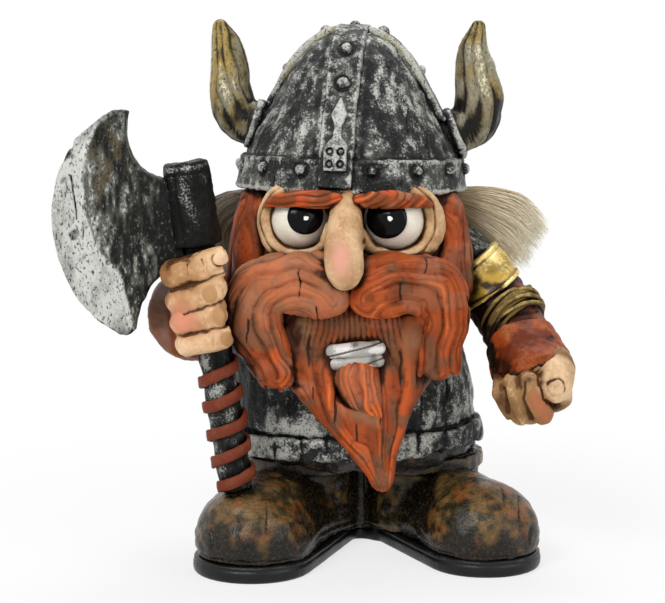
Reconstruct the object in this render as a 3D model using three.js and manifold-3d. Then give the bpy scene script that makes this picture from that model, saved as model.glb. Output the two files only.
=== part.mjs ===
// A cast and painted viking figure, 150 mm tall, standing on its two boots.
// Millimetres, +Z up, +X to the viewer's right, -Y towards the viewer. The origin is on the underside of the
// sole plate, between the heels; the sizes below are measured from the notch between the soles. "Right" and
// "left" in names are the figure's own, so its right hand is at -X.
//
// Every form is a function of grow, the distance that its surface is moved outwards. A casting's own solid
// is the form at grow 0, cut by its neighbours' forms grown by the seam, so each piece seats in the next.

import * as THREE from "three";
import { mergeVertices } from "three/addons/utils/BufferGeometryUtils.js";
import Module from "manifold-3d";

const wasm = await Module();
wasm.setup();

// Driving dimensions, in millimetres and degrees

const seam = 0.3; // glue gap between two castings that touch
const originSetback = 6; // the origin lies this far behind the notch between the soles
const surfaceSides = 11; // facets round a ball
const smallSides = 6; // facets round a finger
const helmetSides = 22;
const bodySides = 14;

const soleThickness = 4.6;
const soleOverhang = 0.6; // the sole stands this far outside the boot's upper
const webFront = 0.2; // y of the notch where the two soles meet
const webBack = 17;

const heelRadius = 14.4;
const shaftTop = 26.6; // the boots' shafts end under the belt
const shaftRadius = 17.1;
const legMiddle = 2.7; // x of the plane where the two shafts meet
const shaftReach = shaftRadius - 0.2; // from that plane to a shaft's axis
const legMeeting = 7; // the legs touch over this distance to the front and back of a shaft's axis
const boots = {
  right: {
    toe: [-27.5, -31.4],
    heel: [-12.4, 8],
    shaft: [legMiddle - shaftReach, 1.4],
    toeRadius: 15.8,
    toeHeight: 23.6,
  },
  left: {
    toe: [35.4, -26],
    heel: [17.4, 11],
    shaft: [legMiddle + shaftReach, 3.4],
    toeRadius: 15.2,
    toeHeight: 23.4,
  },
};
const bootInset = 0.6; // the upper's wall stands this far inside the boot's own outline
const bootWallTop = 10; // the wall that rises straight from the sole ends here
const bootCuffHeight = 4.4;
const bootCuffThickness = 0.8;

const trousersBottom = 23.6;
const beltBottom = 28.6;
const beltHeight = 6.2;
const beltThickness = 2.6;
const beltTilt = 2.4; // the belt's left side is higher
const bodyCentre = [1.2, 2]; // x and y of the body's axis
const shoulderHeight = 78;

const helmetCentre = [-0.7, 0, 102.3]; // middle of the helmet's lower rim
const helmetYaw = -8; // the front strap points a little to the figure's right
const helmetLean = 1.1;
const helmetDepthRatio = 1.04;
const bandHeight = 9;
const bandBottomRadius = 32.6;
const bandTopRadius = 31;
const bandThickness = 3.2;
const strapWidth = 8.6;
const strapThickness = 1.4;
const strapSeat = 0.34; // gap between the dome and a strap
const sideStrapWidth = 7.4;
const sideStrapFoot = 20; // above the rim
const ornamentThickness = 1.1;
const rivetRadius = 1.4;
const rivetHeight = 5.7;
const rivetsPerSide = 7;
const firstRivetAngle = 17.5; // from the middle of the front strap
const studRadius = 1.6;

const haftBottom = [-31.9, -33.4, 22.6];
const haftTop = [-44.9, -34.4, 110.9];
const haftRadius = 4.4;
const axeSocketLength = 22.5;
const axeSocketRadius = 6.8;
const axeSocketTopRadius = 5.8;
const bladeEdgeThickness = 1.8;
const bladeRootThickness = 6;
const gripTurns = 4.75;
const gripPitch = 7.3;
const gripStripWidth = 3.3;
const gripStripThickness = 1.1;
const gripStart = 1.7; // above the haft's lower end
const gripStartTurn = 150; // degrees round the haft from the viewer's right, so it starts at the left

const fingerRadius = 3.9;

const armbandLength = 9;
const armbandRadius = 10;
const cordTurns = 3;
const cordRadius = 0.8;
const cordPitch = 3;
const stepsPerTurn = 24; // of a winding
const windingGap = 0.35; // between a winding and what it is wound on

// Colours of the paint, as plain sRGB values
const paint = {
  sole: { color: "#17181a", roughness: 0.45, metalness: 0 },
  boot: { color: "#5a3a1c", roughness: 0.42, metalness: 0 },
  trousers: { color: "#26282a", roughness: 0.5, metalness: 0 },
  armour: { color: "#5b5d5f", roughness: 0.45, metalness: 0.35 },
  skin: { color: "#c9a67c", roughness: 0.5, metalness: 0 },
  hair: { color: "#b4552c", roughness: 0.55, metalness: 0 },
  sleeve: { color: "#8a3d22", roughness: 0.5, metalness: 0 },
  eye: { color: "#e9e4d6", roughness: 0.25, metalness: 0 },
  pupil: { color: "#08080a", roughness: 0.08, metalness: 0 },
  teeth: { color: "#c9ccd0", roughness: 0.35, metalness: 0.3 },
  gold: { color: "#b3913f", roughness: 0.3, metalness: 0.8 },
  horn: { color: "#8d7c4c", roughness: 0.4, metalness: 0.4 },
  iron: { color: "#8c8e90", roughness: 0.4, metalness: 0.5 },
  haft: { color: "#1d1f20", roughness: 0.45, metalness: 0.1 },
  leather: { color: "#7c3a26", roughness: 0.5, metalness: 0 },
  cord: { color: "#a39250", roughness: 0.55, metalness: 0 },
  fur: { color: "#b6a88c", roughness: 0.9, metalness: 0 },
};

// Tools that turn three.js geometry into solids and back

function solidOf(geometry) {
  const bare = new THREE.BufferGeometry();
  bare.setAttribute("position", geometry.getAttribute("position").clone());
  if (geometry.index) bare.setIndex(geometry.index.clone());
  const merged = mergeVertices(bare, 1e-4);
  return new wasm.Manifold(
    new wasm.Mesh({
      numProp: 3,
      vertProperties: new Float32Array(merged.getAttribute("position").array),
      triVerts: new Uint32Array(merged.index.array),
    }),
  );
}

function geometryOf(solid) {
  const mesh = solid.getMesh();
  const positions = new Float32Array(mesh.numVert * 3);
  for (let i = 0; i < mesh.numVert; i++) {
    positions.set(mesh.vertProperties.subarray(i * mesh.numProp, i * mesh.numProp + 3), i * 3);
  }
  const geometry = new THREE.BufferGeometry();
  geometry.setAttribute("position", new THREE.BufferAttribute(positions, 3));
  geometry.setIndex(new THREE.BufferAttribute(new Uint32Array(mesh.triVerts), 1));
  geometry.computeVertexNormals();
  return geometry;
}

const join = (...solids) => solids.reduce((all, next) => all.add(next));
const cut = (solid, ...cutters) => cutters.reduce((rest, next) => rest.subtract(next), solid);

// The largest of the bodies that a cut leaves; crumbs beside it are waste of the cut.
function mainBody(solid) {
  const bodies = solid.decompose();
  return bodies.reduce((best, next) => (next.volume() > best.volume() ? next : best));
}

// Basic forms, each with its grow

const radians = THREE.MathUtils.degToRad;
const vec = (p) => new THREE.Vector3(p[0], p[1], p[2]);

function placed(geometry, at, turn = [0, 0, 0]) {
  geometry.applyMatrix4(
    new THREE.Matrix4().makeRotationFromEuler(new THREE.Euler(...turn.map(radians), "ZYX")),
  );
  return geometry.translate(at[0], at[1], at[2]);
}

// An ellipsoid.
function ball(at, radii, grow, turn = [0, 0, 0], sides = surfaceSides) {
  const geometry = new THREE.SphereGeometry(1, sides, Math.round(sides * 0.6));
  geometry.scale(radii[0] + grow, radii[1] + grow, radii[2] + grow);
  return solidOf(placed(geometry, at, turn));
}

// A block that trims other forms: between two corners.
function block(low, high) {
  const size = high.map((v, i) => v - low[i]);
  return solidOf(
    placed(new THREE.BoxGeometry(...size), low.map((v, i) => v + size[i] / 2)),
  );
}

// Rings of points joined into one closed skin. Each ring is a list of Vector3, and the ends close on a point.
function skin(rings) {
  const sides = rings[0].length;
  const middle = (ring) =>
    ring.reduce((sum, p) => sum.add(p), new THREE.Vector3()).multiplyScalar(1 / sides);
  const points = [middle(rings[0]), ...rings.flat(), middle(rings[rings.length - 1])];
  const last = points.length - 1;
  const faces = [];
  for (let k = 0; k < sides; k++) {
    const next = (k + 1) % sides;
    faces.push(0, 1 + next, 1 + k);
    for (let r = 0; r < rings.length - 1; r++) {
      const a = 1 + r * sides + k;
      const b = 1 + r * sides + next;
      faces.push(a, b, b + sides, a, b + sides, a + sides);
    }
    faces.push(last, 1 + (rings.length - 1) * sides + k, 1 + (rings.length - 1) * sides + next);
  }
  const geometry = new THREE.BufferGeometry();
  geometry.setAttribute("position", new THREE.Float32BufferAttribute(points.flatMap((p) => p.toArray()), 3));
  geometry.setIndex(faces);
  const solid = solidOf(geometry);
  if (solid.volume() > 0) return solid;
  geometry.setIndex(faces.map((_, i) => faces[i - (i % 3) + [0, 2, 1][i % 3]]));
  return solidOf(geometry);
}

// A tapered tube through stations [x, y, z, radius], with blunt or flat ends. Its section is flattened by
// depth along facing, which is never the direction of the tube itself.
function limb(stations, grow, options = {}) {
  const { steps = 8, sides = smallSides, depth = 1, roundEnds = true, facing = [0, -1, 0] } = options;
  const curve = new THREE.CatmullRomCurve3(stations.map(vec), false, "centripetal");
  const widths = new THREE.CatmullRomCurve3(stations.map((s, i) => new THREE.Vector3(i, s[3], 0)));
  const capRings = roundEnds ? 1 : 0;
  const rings = [];
  const ringAt = (centre, tangent, radius) => {
    const outward = vec(facing);
    outward.addScaledVector(tangent, -outward.dot(tangent)).normalize();
    const across = new THREE.Vector3().crossVectors(tangent, outward);
    rings.push(
      Array.from({ length: sides }, (_, k) => {
        const angle = (k / sides) * 2 * Math.PI;
        return centre
          .clone()
          .addScaledVector(across, (radius + grow) * Math.cos(angle))
          .addScaledVector(outward, (radius * depth + grow) * Math.sin(angle));
      }),
    );
  };
  const capAt = (t, sign, k) => {
    const angle = (k / (capRings + 1)) * (Math.PI / 2);
    const tangent = curve.getTangent(t);
    const radius = widths.getPoint(t).y;
    const reach = (radius * Math.min(depth, 1) + grow) * Math.sin(angle) * sign;
    const shrunk = (radius + grow) * Math.cos(angle) - grow;
    ringAt(curve.getPoint(t).addScaledVector(tangent, reach), tangent, shrunk);
  };
  for (let k = capRings; k > 0; k--) capAt(0, -1, k);
  for (let i = 0; i <= steps; i++) {
    const t = i / steps;
    const tangent = curve.getTangent(t);
    const slide = roundEnds ? 0 : grow * (t === 0 ? -1 : t === 1 ? 1 : 0);
    ringAt(curve.getPoint(t).addScaledVector(tangent, slide), tangent, widths.getPoint(t).y);
  }
  for (let k = 1; k <= capRings; k++) capAt(1, 1, k);
  return skin(rings);
}

// A form stacked of level ellipses, each [z, centre x, centre y, half width, half depth].
function stack(levels, grow, sides = surfaceSides) {
  const last = levels.length - 1;
  return skin(
    levels.map(([z, x, y, width, depth], i) => {
      const lift = grow * (i === 0 ? -1 : i === last ? 1 : 0);
      return Array.from({ length: sides }, (_, k) => {
        const angle = (k / sides) * 2 * Math.PI;
        return new THREE.Vector3(
          x + (width + grow) * Math.cos(angle),
          y + (depth + grow) * Math.sin(angle),
          z + lift,
        );
      });
    }),
  );
}

// A turned form round a vertical axis through at. Its profile lists [radius, height] from the bottom up.
function turned(profile, at, grow, depthRatio = 1, sides = helmetSides) {
  const middleHeight = (profile[0][1] + profile[profile.length - 1][1]) / 2;
  const points = profile.map(
    ([radius, height]) =>
      new THREE.Vector2(radius > 0 ? radius + grow : 0, height + (height > middleHeight ? grow : -grow)),
  );
  const geometry = new THREE.LatheGeometry(points, sides);
  geometry.rotateX(Math.PI / 2);
  geometry.scale(1, depthRatio, 1);
  return solidOf(geometry.translate(at[0], at[1], at[2]));
}

// A straight rod or cup between two points.
function rod(from, to, radius, grow, sides = smallSides, endRadius = radius) {
  const start = vec(from);
  const axis = vec(to).sub(start);
  const length = axis.length();
  const geometry = new THREE.CylinderGeometry(endRadius + grow, radius + grow, length + 2 * grow, sides);
  geometry.translate(0, length / 2, 0);
  geometry.applyQuaternion(
    new THREE.Quaternion().setFromUnitVectors(new THREE.Vector3(0, 1, 0), axis.normalize()),
  );
  return solidOf(geometry.translate(start.x, start.y, start.z));
}

// A plate with an outline in x and z, extruded along y and placed by a matrix.
function plate(outline, thickness, grow, matrix) {
  const geometry = new THREE.ExtrudeGeometry(outline, {
    depth: thickness,
    bevelEnabled: grow > 0,
    bevelThickness: grow,
    bevelSize: grow,
    bevelSegments: 1,
    curveSegments: 5,
  });
  geometry.translate(0, 0, -thickness / 2);
  return solidOf(geometry.applyMatrix4(matrix));
}

const between = (a, b, t) => a.map((v, i) => v + (b[i] - v) * t);

// Sole plate: two soles splayed like the boots, joined by a web at the heels

function soleOutline({ toe, heel, toeRadius }, reach) {
  const along = new THREE.Vector2(heel[0] - toe[0], heel[1] - toe[1]);
  const lean = Math.acos((toeRadius - heelRadius) / along.length());
  const heading = along.angle();
  const shape = new THREE.Shape();
  shape.absarc(toe[0], toe[1], toeRadius + reach, heading + lean, heading - lean + 2 * Math.PI, false);
  shape.absarc(heel[0], heel[1], heelRadius + reach, heading - lean, heading + lean, false);
  return shape;
}

function webOutline() {
  const shape = new THREE.Shape();
  const side = 6;
  shape.moveTo(-side, webFront - 5);
  shape.lineTo(-side / 2, webFront - 2.6);
  shape.quadraticCurveTo(2.4, webFront + 2.4, side, webFront - 3);
  shape.lineTo(side * 2, webFront);
  shape.lineTo(side * 2, webBack);
  shape.lineTo(-side, webBack - 2.5);
  return shape;
}

// An outline on the ground, raised to a height.
function soleSolid(outline, height, curveSegments = 8) {
  return solidOf(new THREE.ExtrudeGeometry(outline, { depth: height, bevelEnabled: false, curveSegments }));
}

function solePlate(grow) {
  const top = soleThickness + grow;
  return join(
    soleSolid(soleOutline(boots.right, soleOverhang + grow), top),
    soleSolid(soleOutline(boots.left, soleOverhang + grow), top),
    soleSolid(webOutline(), top),
  );
}

// Boots: a bulbous toe, an instep, a wall round the sole and a shaft with a turned cuff

function bootUpper(boot, grow) {
  const { toe, heel, shaft, toeRadius, toeHeight } = boot;
  const instep = between(toe, heel, 0.42);
  const toeTurn = THREE.MathUtils.radToDeg(Math.atan2(heel[1] - toe[1], heel[0] - toe[0]));
  const whole = join(
    ball(
      [toe[0], toe[1], toeHeight * 0.38],
      [toeRadius + 0.6, toeRadius + 0.2, toeHeight * 0.62],
      grow,
      [0, 0, toeTurn],
      13,
    ),
    limb(
      [
        [...toe, toeHeight * 0.4, toeRadius * 0.86],
        [...instep, toeHeight * 0.5, heelRadius],
        [...heel, toeHeight * 0.4, heelRadius],
      ],
      grow,
      { steps: 3, sides: 10, depth: 0.86, facing: [0, 0, 1] },
    ),
    soleSolid(soleOutline(boot, grow - bootInset), bootWallTop + grow, 5),
    rod([...shaft, soleThickness - 2], [...shaft, shaftTop], shaftRadius, grow, 14, shaftRadius - 0.2),
    block(
      [Math.min(shaft[0], legMiddle) - grow, shaft[1] - legMeeting - grow, 0],
      [Math.max(shaft[0], legMiddle) + grow, shaft[1] + legMeeting + grow, shaftTop - bootCuffHeight],
    ),
  );
  return cut(whole, block([-90, -90, -20], [90, 90, soleThickness + seam]));
}

function bootCuff({ shaft }, grow) {
  return rod(
    [...shaft, shaftTop - bootCuffHeight],
    [...shaft, shaftTop - 0.4],
    shaftRadius + bootCuffThickness * 0.8,
    grow,
    14,
    shaftRadius + bootCuffThickness,
  ).subtract(rod([...shaft, shaftTop - 12], [...shaft, shaftTop + 12], shaftRadius - 1.4, -grow, 14));
}

// Body: trousers, belt and tunic are stacked of level ellipses round one axis

const bodyLevel = (z, width, depth, shiftX = 0, shiftY = 0) => [
  z,
  bodyCentre[0] + shiftX,
  bodyCentre[1] + shiftY,
  width,
  depth,
];

const beltTop = beltBottom + beltHeight;

function trousers(grow) {
  return stack(
    [
      bodyLevel(trousersBottom, 32.5, 21),
      bodyLevel(trousersBottom + 2, 34.4, 24),
      bodyLevel(beltBottom - 1, 35, 26),
      bodyLevel(beltBottom + 3, 32.5, 25.5),
    ],
    grow,
    bodySides,
  );
}

function belt(grow) {
  const outer = stack(
    [
      bodyLevel(beltBottom, 34.6, 27.4),
      bodyLevel(beltBottom + 1.4, 36, 29),
      bodyLevel(beltTop - 1.6, 36.2, 29.2),
      bodyLevel(beltTop, 34.9, 28),
    ],
    grow,
    18,
  );
  const inner = stack(
    [
      bodyLevel(beltBottom - 5, 35.2 - beltThickness, 28.2 - beltThickness),
      bodyLevel(beltTop + 5, 35.2 - beltThickness, 28.2 - beltThickness),
    ],
    -grow,
    18,
  );
  const tilt = new THREE.Matrix4()
    .makeTranslation(0, 0, beltBottom)
    .multiply(new THREE.Matrix4().makeRotationY(-radians(beltTilt)))
    .multiply(new THREE.Matrix4().makeTranslation(0, 0, -beltBottom));
  return cut(outer, inner).transform(tilt.elements);
}

function tunic(grow) {
  return stack(
    [
      bodyLevel(beltBottom + 3.6, 31.4, 25),
      bodyLevel(beltTop + 1, 34, 27.6, -0.8),
      bodyLevel(46, 33.9, 27.2, -1.3),
      bodyLevel(60, 32.2, 25, -3),
      bodyLevel(70, 31.3, 22.6, -2.9),
      bodyLevel(shoulderHeight, 29.4, 19.4, -1.8),
      bodyLevel(shoulderHeight + 7, 24, 16, -1.2),
      bodyLevel(shoulderHeight + 11, 15, 12, -1.4),
    ],
    grow,
    bodySides,
  );
}

// Head: skull, eyes with lids and brows, nose and teeth

const skullCentre = [-0.6, 0, 91];

function skull(grow) {
  return join(
    ball(skullCentre, [27.5, 28.4, 24], grow, [0, 0, 0], 14),
    rod([-0.6, 3, 62], [-0.6, 2, 80], 14, grow, 10),
  );
}

const eyes = {
  right: { at: [-15, -25.8, 94.8], radius: 7.8, pupil: [-13.7, -30.6, 96.9], pupilRadius: 5.1 },
  left: { at: [10.5, -25.8, 94.8], radius: 8.2, pupil: [9, -30.9, 95.9], pupilRadius: 5.6 },
};

const eyeball = ({ at, radius }, grow) => ball(at, [radius, radius, radius], grow);
const pupil = ({ pupil: at, pupilRadius }, grow) =>
  ball(at, [pupilRadius, pupilRadius * 0.66, pupilRadius], grow, [0, 0, 0], 12);

// The skin fold round an eye is thick at the outer corner and thin under the eye.
const lidStations = {
  right: [
    [-24.2, -25.6, 97.4, 2],
    [-24.5, -26, 92, 2.5],
    [-21.3, -27.4, 87.4, 2.4],
    [-15.4, -30, 85.7, 1.6],
    [-9.4, -32, 87.2, 1.5],
    [-6.8, -32.4, 91.4, 1.8],
  ],
  left: [
    [20.4, -25.2, 97.4, 2.4],
    [21.2, -25.4, 92, 3],
    [18, -27, 87, 2.7],
    [11.4, -30, 85.4, 1.7],
    [4.6, -32, 87, 1.7],
    [1.6, -32.6, 91.4, 1.9],
  ],
};
const eyelid = (side, grow) => limb(lidStations[side], grow, { steps: 7, sides: 6 });

const browStations = {
  right: [
    [-24.4, -29.8, 98.9, 0.9],
    [-20.4, -32.4, 100.4, 1.8],
    [-13.5, -34.4, 101.1, 2.3],
    [-8, -35.4, 101, 2.3],
    [-4.8, -35.8, 100.9, 1.5],
  ],
  left: [
    [20, -30.2, 99.2, 1],
    [16.2, -32.8, 100.4, 1.8],
    [9.6, -34.6, 100.9, 2.4],
    [4, -35.6, 100.7, 2.2],
    [0.6, -35.8, 100.7, 1.4],
  ],
};
const brow = (side, grow) => limb(browStations[side], grow, { steps: 5 });

const noseStations = [
  [-2.3, -31.5, 100.5, 3.6],
  [-2.7, -36, 95, 4.2],
  [-3, -39.4, 89, 4.9],
  [-2.9, -41.4, 83.4, 5],
  [-2.8, -41.8, 81.6, 4.3],
];
const nose = (grow) => limb(noseStations, grow, { steps: 5, sides: 8 });

// Each half of the moustache is a lobe beside the nose and a lock that hangs from its outer end.
const moustacheLobes = {
  right: [
    [-3.4, -35.5, 76.4, 3.2],
    [-9, -36.8, 77.6, 6.3],
    [-17, -35.8, 79.2, 7.9],
    [-25.6, -31.4, 76.4, 8.2],
  ],
  left: [
    [0.8, -35.5, 75.6, 3],
    [5.4, -36.8, 77.2, 6.1],
    [13.2, -35.8, 79.2, 7.8],
    [22.4, -30.8, 77, 8.2],
  ],
};
const moustacheLocks = {
  right: [
    [-25.4, -31.4, 76, 8.2],
    [-26.4, -29.6, 67, 7.9],
    [-23.2, -30.6, 59, 6.1],
    [-21.2, -31.8, 52, 4.9],
  ],
  left: [
    [22.4, -30.8, 76.6, 8.2],
    [24.6, -28.8, 68, 7.6],
    [24.2, -29.6, 60.6, 6.4],
    [23.4, -30.8, 54.6, 5],
  ],
};
const moustache = (side, grow) =>
  join(
    limb(moustacheLobes[side], grow, { steps: 5, sides: 9, depth: 0.86 }),
    limb(moustacheLocks[side], grow, { steps: 5, sides: 9, depth: 0.86 }),
  );

const teethStations = {
  upper: [[-5.9, -34, 60, 1.8], [0.2, -35.4, 60.6, 1.9], [6.3, -34.4, 61.2, 1.8]],
  lower: [[-5.2, -34, 56.4, 1.7], [0.5, -35.4, 57, 1.8], [6.1, -34.2, 57.6, 1.7]],
};
const teeth = (row, grow) => limb(teethStations[row], grow, { steps: 3, sides: 6 });
const lipTuft = (grow) => ball([0.6, -33.4, 49.6], [6.2, 4.6, 6.2], grow, [0, 0, 0], 8);

function beard(grow) {
  const chin = stack(
    [
      [22.9, 8.2, -35.2, 0.9, 1.1],
      [25, 7.4, -35, 2.8, 2.6],
      [34, 4.6, -33.2, 7.4, 5.4],
      [44.6, 1.4, -29.4, 14.8, 8.4],
      [51, 0.8, -26, 20.2, 11],
      [58, 0, -20, 25.4, 15.6],
      [68, -0.7, -13.4, 30, 20.4],
      [78, -0.9, -10, 31.4, 21.8],
      [88, -0.8, -7, 28, 18],
    ],
    grow,
    bodySides,
  );
  const whiskers = [-1, 1].map((side) =>
    limb(
      [
        [-0.8 + side * 26, -12, 74, 9],
        [-0.8 + side * 26, -12, 86, 8],
        [-0.8 + side * 25.4, -11, 98, 6.4],
      ],
      grow,
      { steps: 2, sides: 8, depth: 1.5 },
    ),
  );
  return join(chin, ...whiskers);
}

// Helmet: all of it is built round the helmet's own axis, then leaned and turned together

const helmetMatrix = new THREE.Matrix4()
  .makeTranslation(...helmetCentre)
  .multiply(new THREE.Matrix4().makeRotationY(radians(helmetLean)));
const turnedHelmetMatrix = helmetMatrix
  .clone()
  .multiply(new THREE.Matrix4().makeRotationZ(radians(helmetYaw)));

const onHelmet = (solid, matrix = turnedHelmetMatrix) => solid.transform(matrix.elements);

// Outside of the dome, [radius, height above the rim], from the band's top to the apex.
const domeProfile = [
  [30, bandHeight - 2],
  [29.2, 11],
  [27.6, 15],
  [23.6, 21.8],
  [20.2, 28.2],
  [16.8, 34.2],
  [12.2, 39.6],
  [5.6, 43.2],
  [0, 44.2],
];

const dome = (grow) =>
  onHelmet(turned([[0, 1.5], [29.6, 1.5], ...domeProfile], [0, 0, 0], grow, helmetDepthRatio));

const bandProfile = [
  [0, 0],
  [bandBottomRadius, 0],
  [bandBottomRadius + 0.2, bandHeight * 0.35],
  [bandTopRadius + 0.7, bandHeight - 0.8],
  [bandTopRadius, bandHeight],
  [0, bandHeight],
];
const bandBore = [
  [0, -bandHeight],
  [bandBottomRadius - bandThickness, -bandHeight],
  [bandTopRadius - bandThickness, 2 * bandHeight],
  [0, 2 * bandHeight],
];

function rivetAt(angle, height, radius, grow) {
  const reach = bandBottomRadius - (bandBottomRadius - bandTopRadius) * (height / bandHeight);
  return ball(
    [reach * Math.sin(radians(angle)), -reach * helmetDepthRatio * Math.cos(radians(angle)), height],
    [radius, radius, radius],
    grow,
    [0, 0, 0],
    6,
  );
}

function band(grow) {
  const step = (180 - 2 * firstRivetAngle) / (rivetsPerSide - 1);
  const rivets = [];
  for (const side of [-1, 1]) {
    for (let k = 0; k < rivetsPerSide; k++) {
      rivets.push(rivetAt(side * (firstRivetAngle + k * step), rivetHeight, rivetRadius, grow));
    }
  }
  const hoop = cut(
    turned(bandProfile, [0, 0, 0], grow, helmetDepthRatio),
    turned(bandBore, [0, 0, 0], -grow, helmetDepthRatio),
  );
  return onHelmet(join(hoop, ...rivets));
}

// Straps and ornament are cut from shells that follow the band and the dome, so they bend with them.
const coverProfile = [
  [bandBottomRadius + 0.3, 1.3],
  [bandTopRadius + 0.9, bandHeight - 0.6],
  [29.3, bandHeight + 1.6],
  ...domeProfile.slice(2),
];

// The solid under the cover profile, with the profile moved outwards along its own normals.
function underCover(distance, lowered = 0) {
  const last = coverProfile.length - 1;
  const points = coverProfile.map(([radius, height], i) => {
    const before = coverProfile[Math.max(i - 1, 0)];
    const after = coverProfile[Math.min(i + 1, last)];
    const along = new THREE.Vector2(after[0] - before[0], after[1] - before[1]).normalize();
    if (i === last) return [0, height + distance];
    return [radius + along.y * distance, height - (i === 0 ? lowered : along.x * distance)];
  });
  return turned([[0, coverProfile[0][1] - lowered], ...points], [0, 0, 0], 0, helmetDepthRatio);
}

const shell = (near, far) => cut(underCover(far), underCover(near, 1));

function studOn(radius, height, yaw, grow) {
  const at = new THREE.Vector3(radius, 0, height).applyAxisAngle(new THREE.Vector3(0, 0, 1), radians(yaw));
  return ball(at.toArray(), [studRadius, studRadius, studRadius], grow, [0, 0, 0], 6);
}

function crestStrap(grow) {
  const half = strapWidth / 2 + grow;
  const strip = shell(strapSeat - grow, strapSeat + strapThickness + grow).intersect(
    block([-half, -60, -grow], [half, 60, 60]),
  );
  const front = [
    [16.2, 37.4],
    [22, 28.2],
  ];
  const studs = [-90, 90].flatMap((yaw) =>
    front.map(([radius, height]) => studOn(radius * helmetDepthRatio, height, yaw, grow)),
  );
  return onHelmet(join(strip, studOn(0, 44.6 + strapThickness, 0, grow), ...studs));
}

function sideStrap(side, grow) {
  const half = sideStrapWidth / 2 + grow;
  const hand = side === "left" ? 1 : -1;
  const reach = [2, 26].map((x) => x * hand).sort((a, b) => a - b);
  const strip = shell(strapSeat - grow, strapSeat + strapThickness + grow).intersect(
    block([reach[0] - grow, -half, sideStrapFoot - grow], [reach[1] + grow, half, 60]),
  );
  const studs = [
    [10.8, 42],
    [19.2, 32.2],
  ].map(([radius, height]) => studOn(radius, height, side === "left" ? 0 : 180, grow));
  return onHelmet(join(strip, ...studs));
}

// The spear-shaped ornament lies on the front strap and bends with it; its foot has four holes.
function strapOrnament(grow) {
  const spear = new THREE.Shape();
  spear.moveTo(-2.9, 6.2);
  spear.lineTo(2.9, 6.2);
  spear.lineTo(2.9, 12.8);
  spear.lineTo(0.9, 15);
  spear.lineTo(0.8, 18);
  spear.quadraticCurveTo(2.8, 21.4, 0, 25);
  spear.quadraticCurveTo(-2.8, 21.4, -0.8, 18);
  spear.lineTo(-0.9, 15);
  spear.lineTo(-2.9, 12.8);
  spear.lineTo(-2.9, 6.2);
  if (grow === 0) {
    for (const [x, z] of [[-1.45, 7.9], [1.45, 7.9], [-1.45, 11.2], [1.45, 11.2]]) {
      const hole = new THREE.Path();
      hole.absarc(x, z, 0.75, 0, 2 * Math.PI, true);
      spear.holes.push(hole);
    }
  }
  const front = new THREE.Matrix4().makeRotationX(Math.PI / 2).setPosition(0, -bandBottomRadius, 0);
  const seat = strapSeat * 2 + strapThickness;
  const layer = shell(seat - grow, seat + ornamentThickness + grow);
  return onHelmet(plate(spear, 24, grow, front).intersect(layer));
}

// Horns: each seats with a tenon in a collar on the dome's side

const horns = {
  right: {
    stations: [
      [-28.9, 0, 120.2, 6.1],
      [-32.8, 0, 123, 6.3],
      [-34.6, 0, 129.4, 5.9],
      [-34.9, 0, 135.8, 5.2],
      [-35.9, 0, 142.2, 4],
      [-37.4, 0, 147.4, 2.2],
    ],
    collar: { from: [-20, 0, 117.4], to: [-28.7, 0, 120.4], radius: 7 },
  },
  left: {
    stations: [
      [30.4, 0, 118.4, 6.3],
      [34, 0, 121, 6.7],
      [35.3, 0, 127.4, 6.8],
      [34.5, 0, 134, 5.8],
      [33.6, 0, 140.4, 4.2],
      [34.9, 0, 147.2, 2.1],
    ],
    collar: { from: [20, 0, 114.7], to: [29.2, 0, 117.9], radius: 7.1 },
  },
};
const tenonRadius = 3;
const tenonLength = 5;

const hornCollar = ({ collar }, grow) =>
  rod(collar.from, collar.to, collar.radius - 0.4, grow, 14, collar.radius);

function horn({ stations, collar }, grow) {
  const axis = vec(collar.to).sub(vec(collar.from)).normalize();
  const mouth = vec(collar.to).addScaledVector(axis, seam);
  const root = mouth.clone().addScaledVector(axis, -tenonLength);
  const tip = mouth.clone().addScaledVector(axis, 2);
  const body = limb(stations, grow, { steps: 7, sides: 9 });
  const behindMouth = rod(
    mouth.clone().addScaledVector(axis, -14).toArray(),
    mouth.toArray(),
    14,
    0,
    8,
  );
  return join(cut(body, behindMouth), rod(root.toArray(), tip.toArray(), tenonRadius, grow, 10));
}

// Axe: haft, socket, blade and the leather strip wound round the grip

const haftAxis = vec(haftTop).sub(vec(haftBottom)).normalize();
const haftLength = vec(haftTop).sub(vec(haftBottom)).length();
const onHaft = (distance) => vec(haftBottom).addScaledVector(haftAxis, distance);
const haftForward = new THREE.Vector3(0, -1, 0)
  .addScaledVector(haftAxis, haftAxis.y)
  .normalize();
const haftAcross = new THREE.Vector3().crossVectors(haftAxis, haftForward).normalize();
const socketStart = haftLength - axeSocketLength;

const haft = (grow) => rod(onHaft(0).toArray(), onHaft(haftLength - 1.5).toArray(), haftRadius, grow, 16);

const axeSocket = (grow) =>
  rod(onHaft(socketStart).toArray(), haftTop, axeSocketRadius, grow, 18, axeSocketTopRadius);

// The blade's outline, in millimetres out from the haft's axis and along the haft from the socket's foot.
function bladeOutline() {
  const shape = new THREE.Shape();
  shape.moveTo(-4, -0.6);
  shape.bezierCurveTo(-12.6, -4, -17.6, -11.4, -20, -19.6);
  shape.quadraticCurveTo(-21, -21.9, -24.4, -20.2);
  shape.bezierCurveTo(-34, -13.4, -38, -2.4, -37.6, 8.8);
  shape.bezierCurveTo(-37.1, 20.2, -32.2, 30.8, -21.6, 36.4);
  shape.quadraticCurveTo(-16.6, 39.2, -12.6, 37.8);
  shape.bezierCurveTo(-14.2, 34, -15.2, 28.4, -12.6, 23.8);
  shape.quadraticCurveTo(-10, 19.4, -4, 18.2);
  return shape;
}

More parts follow.
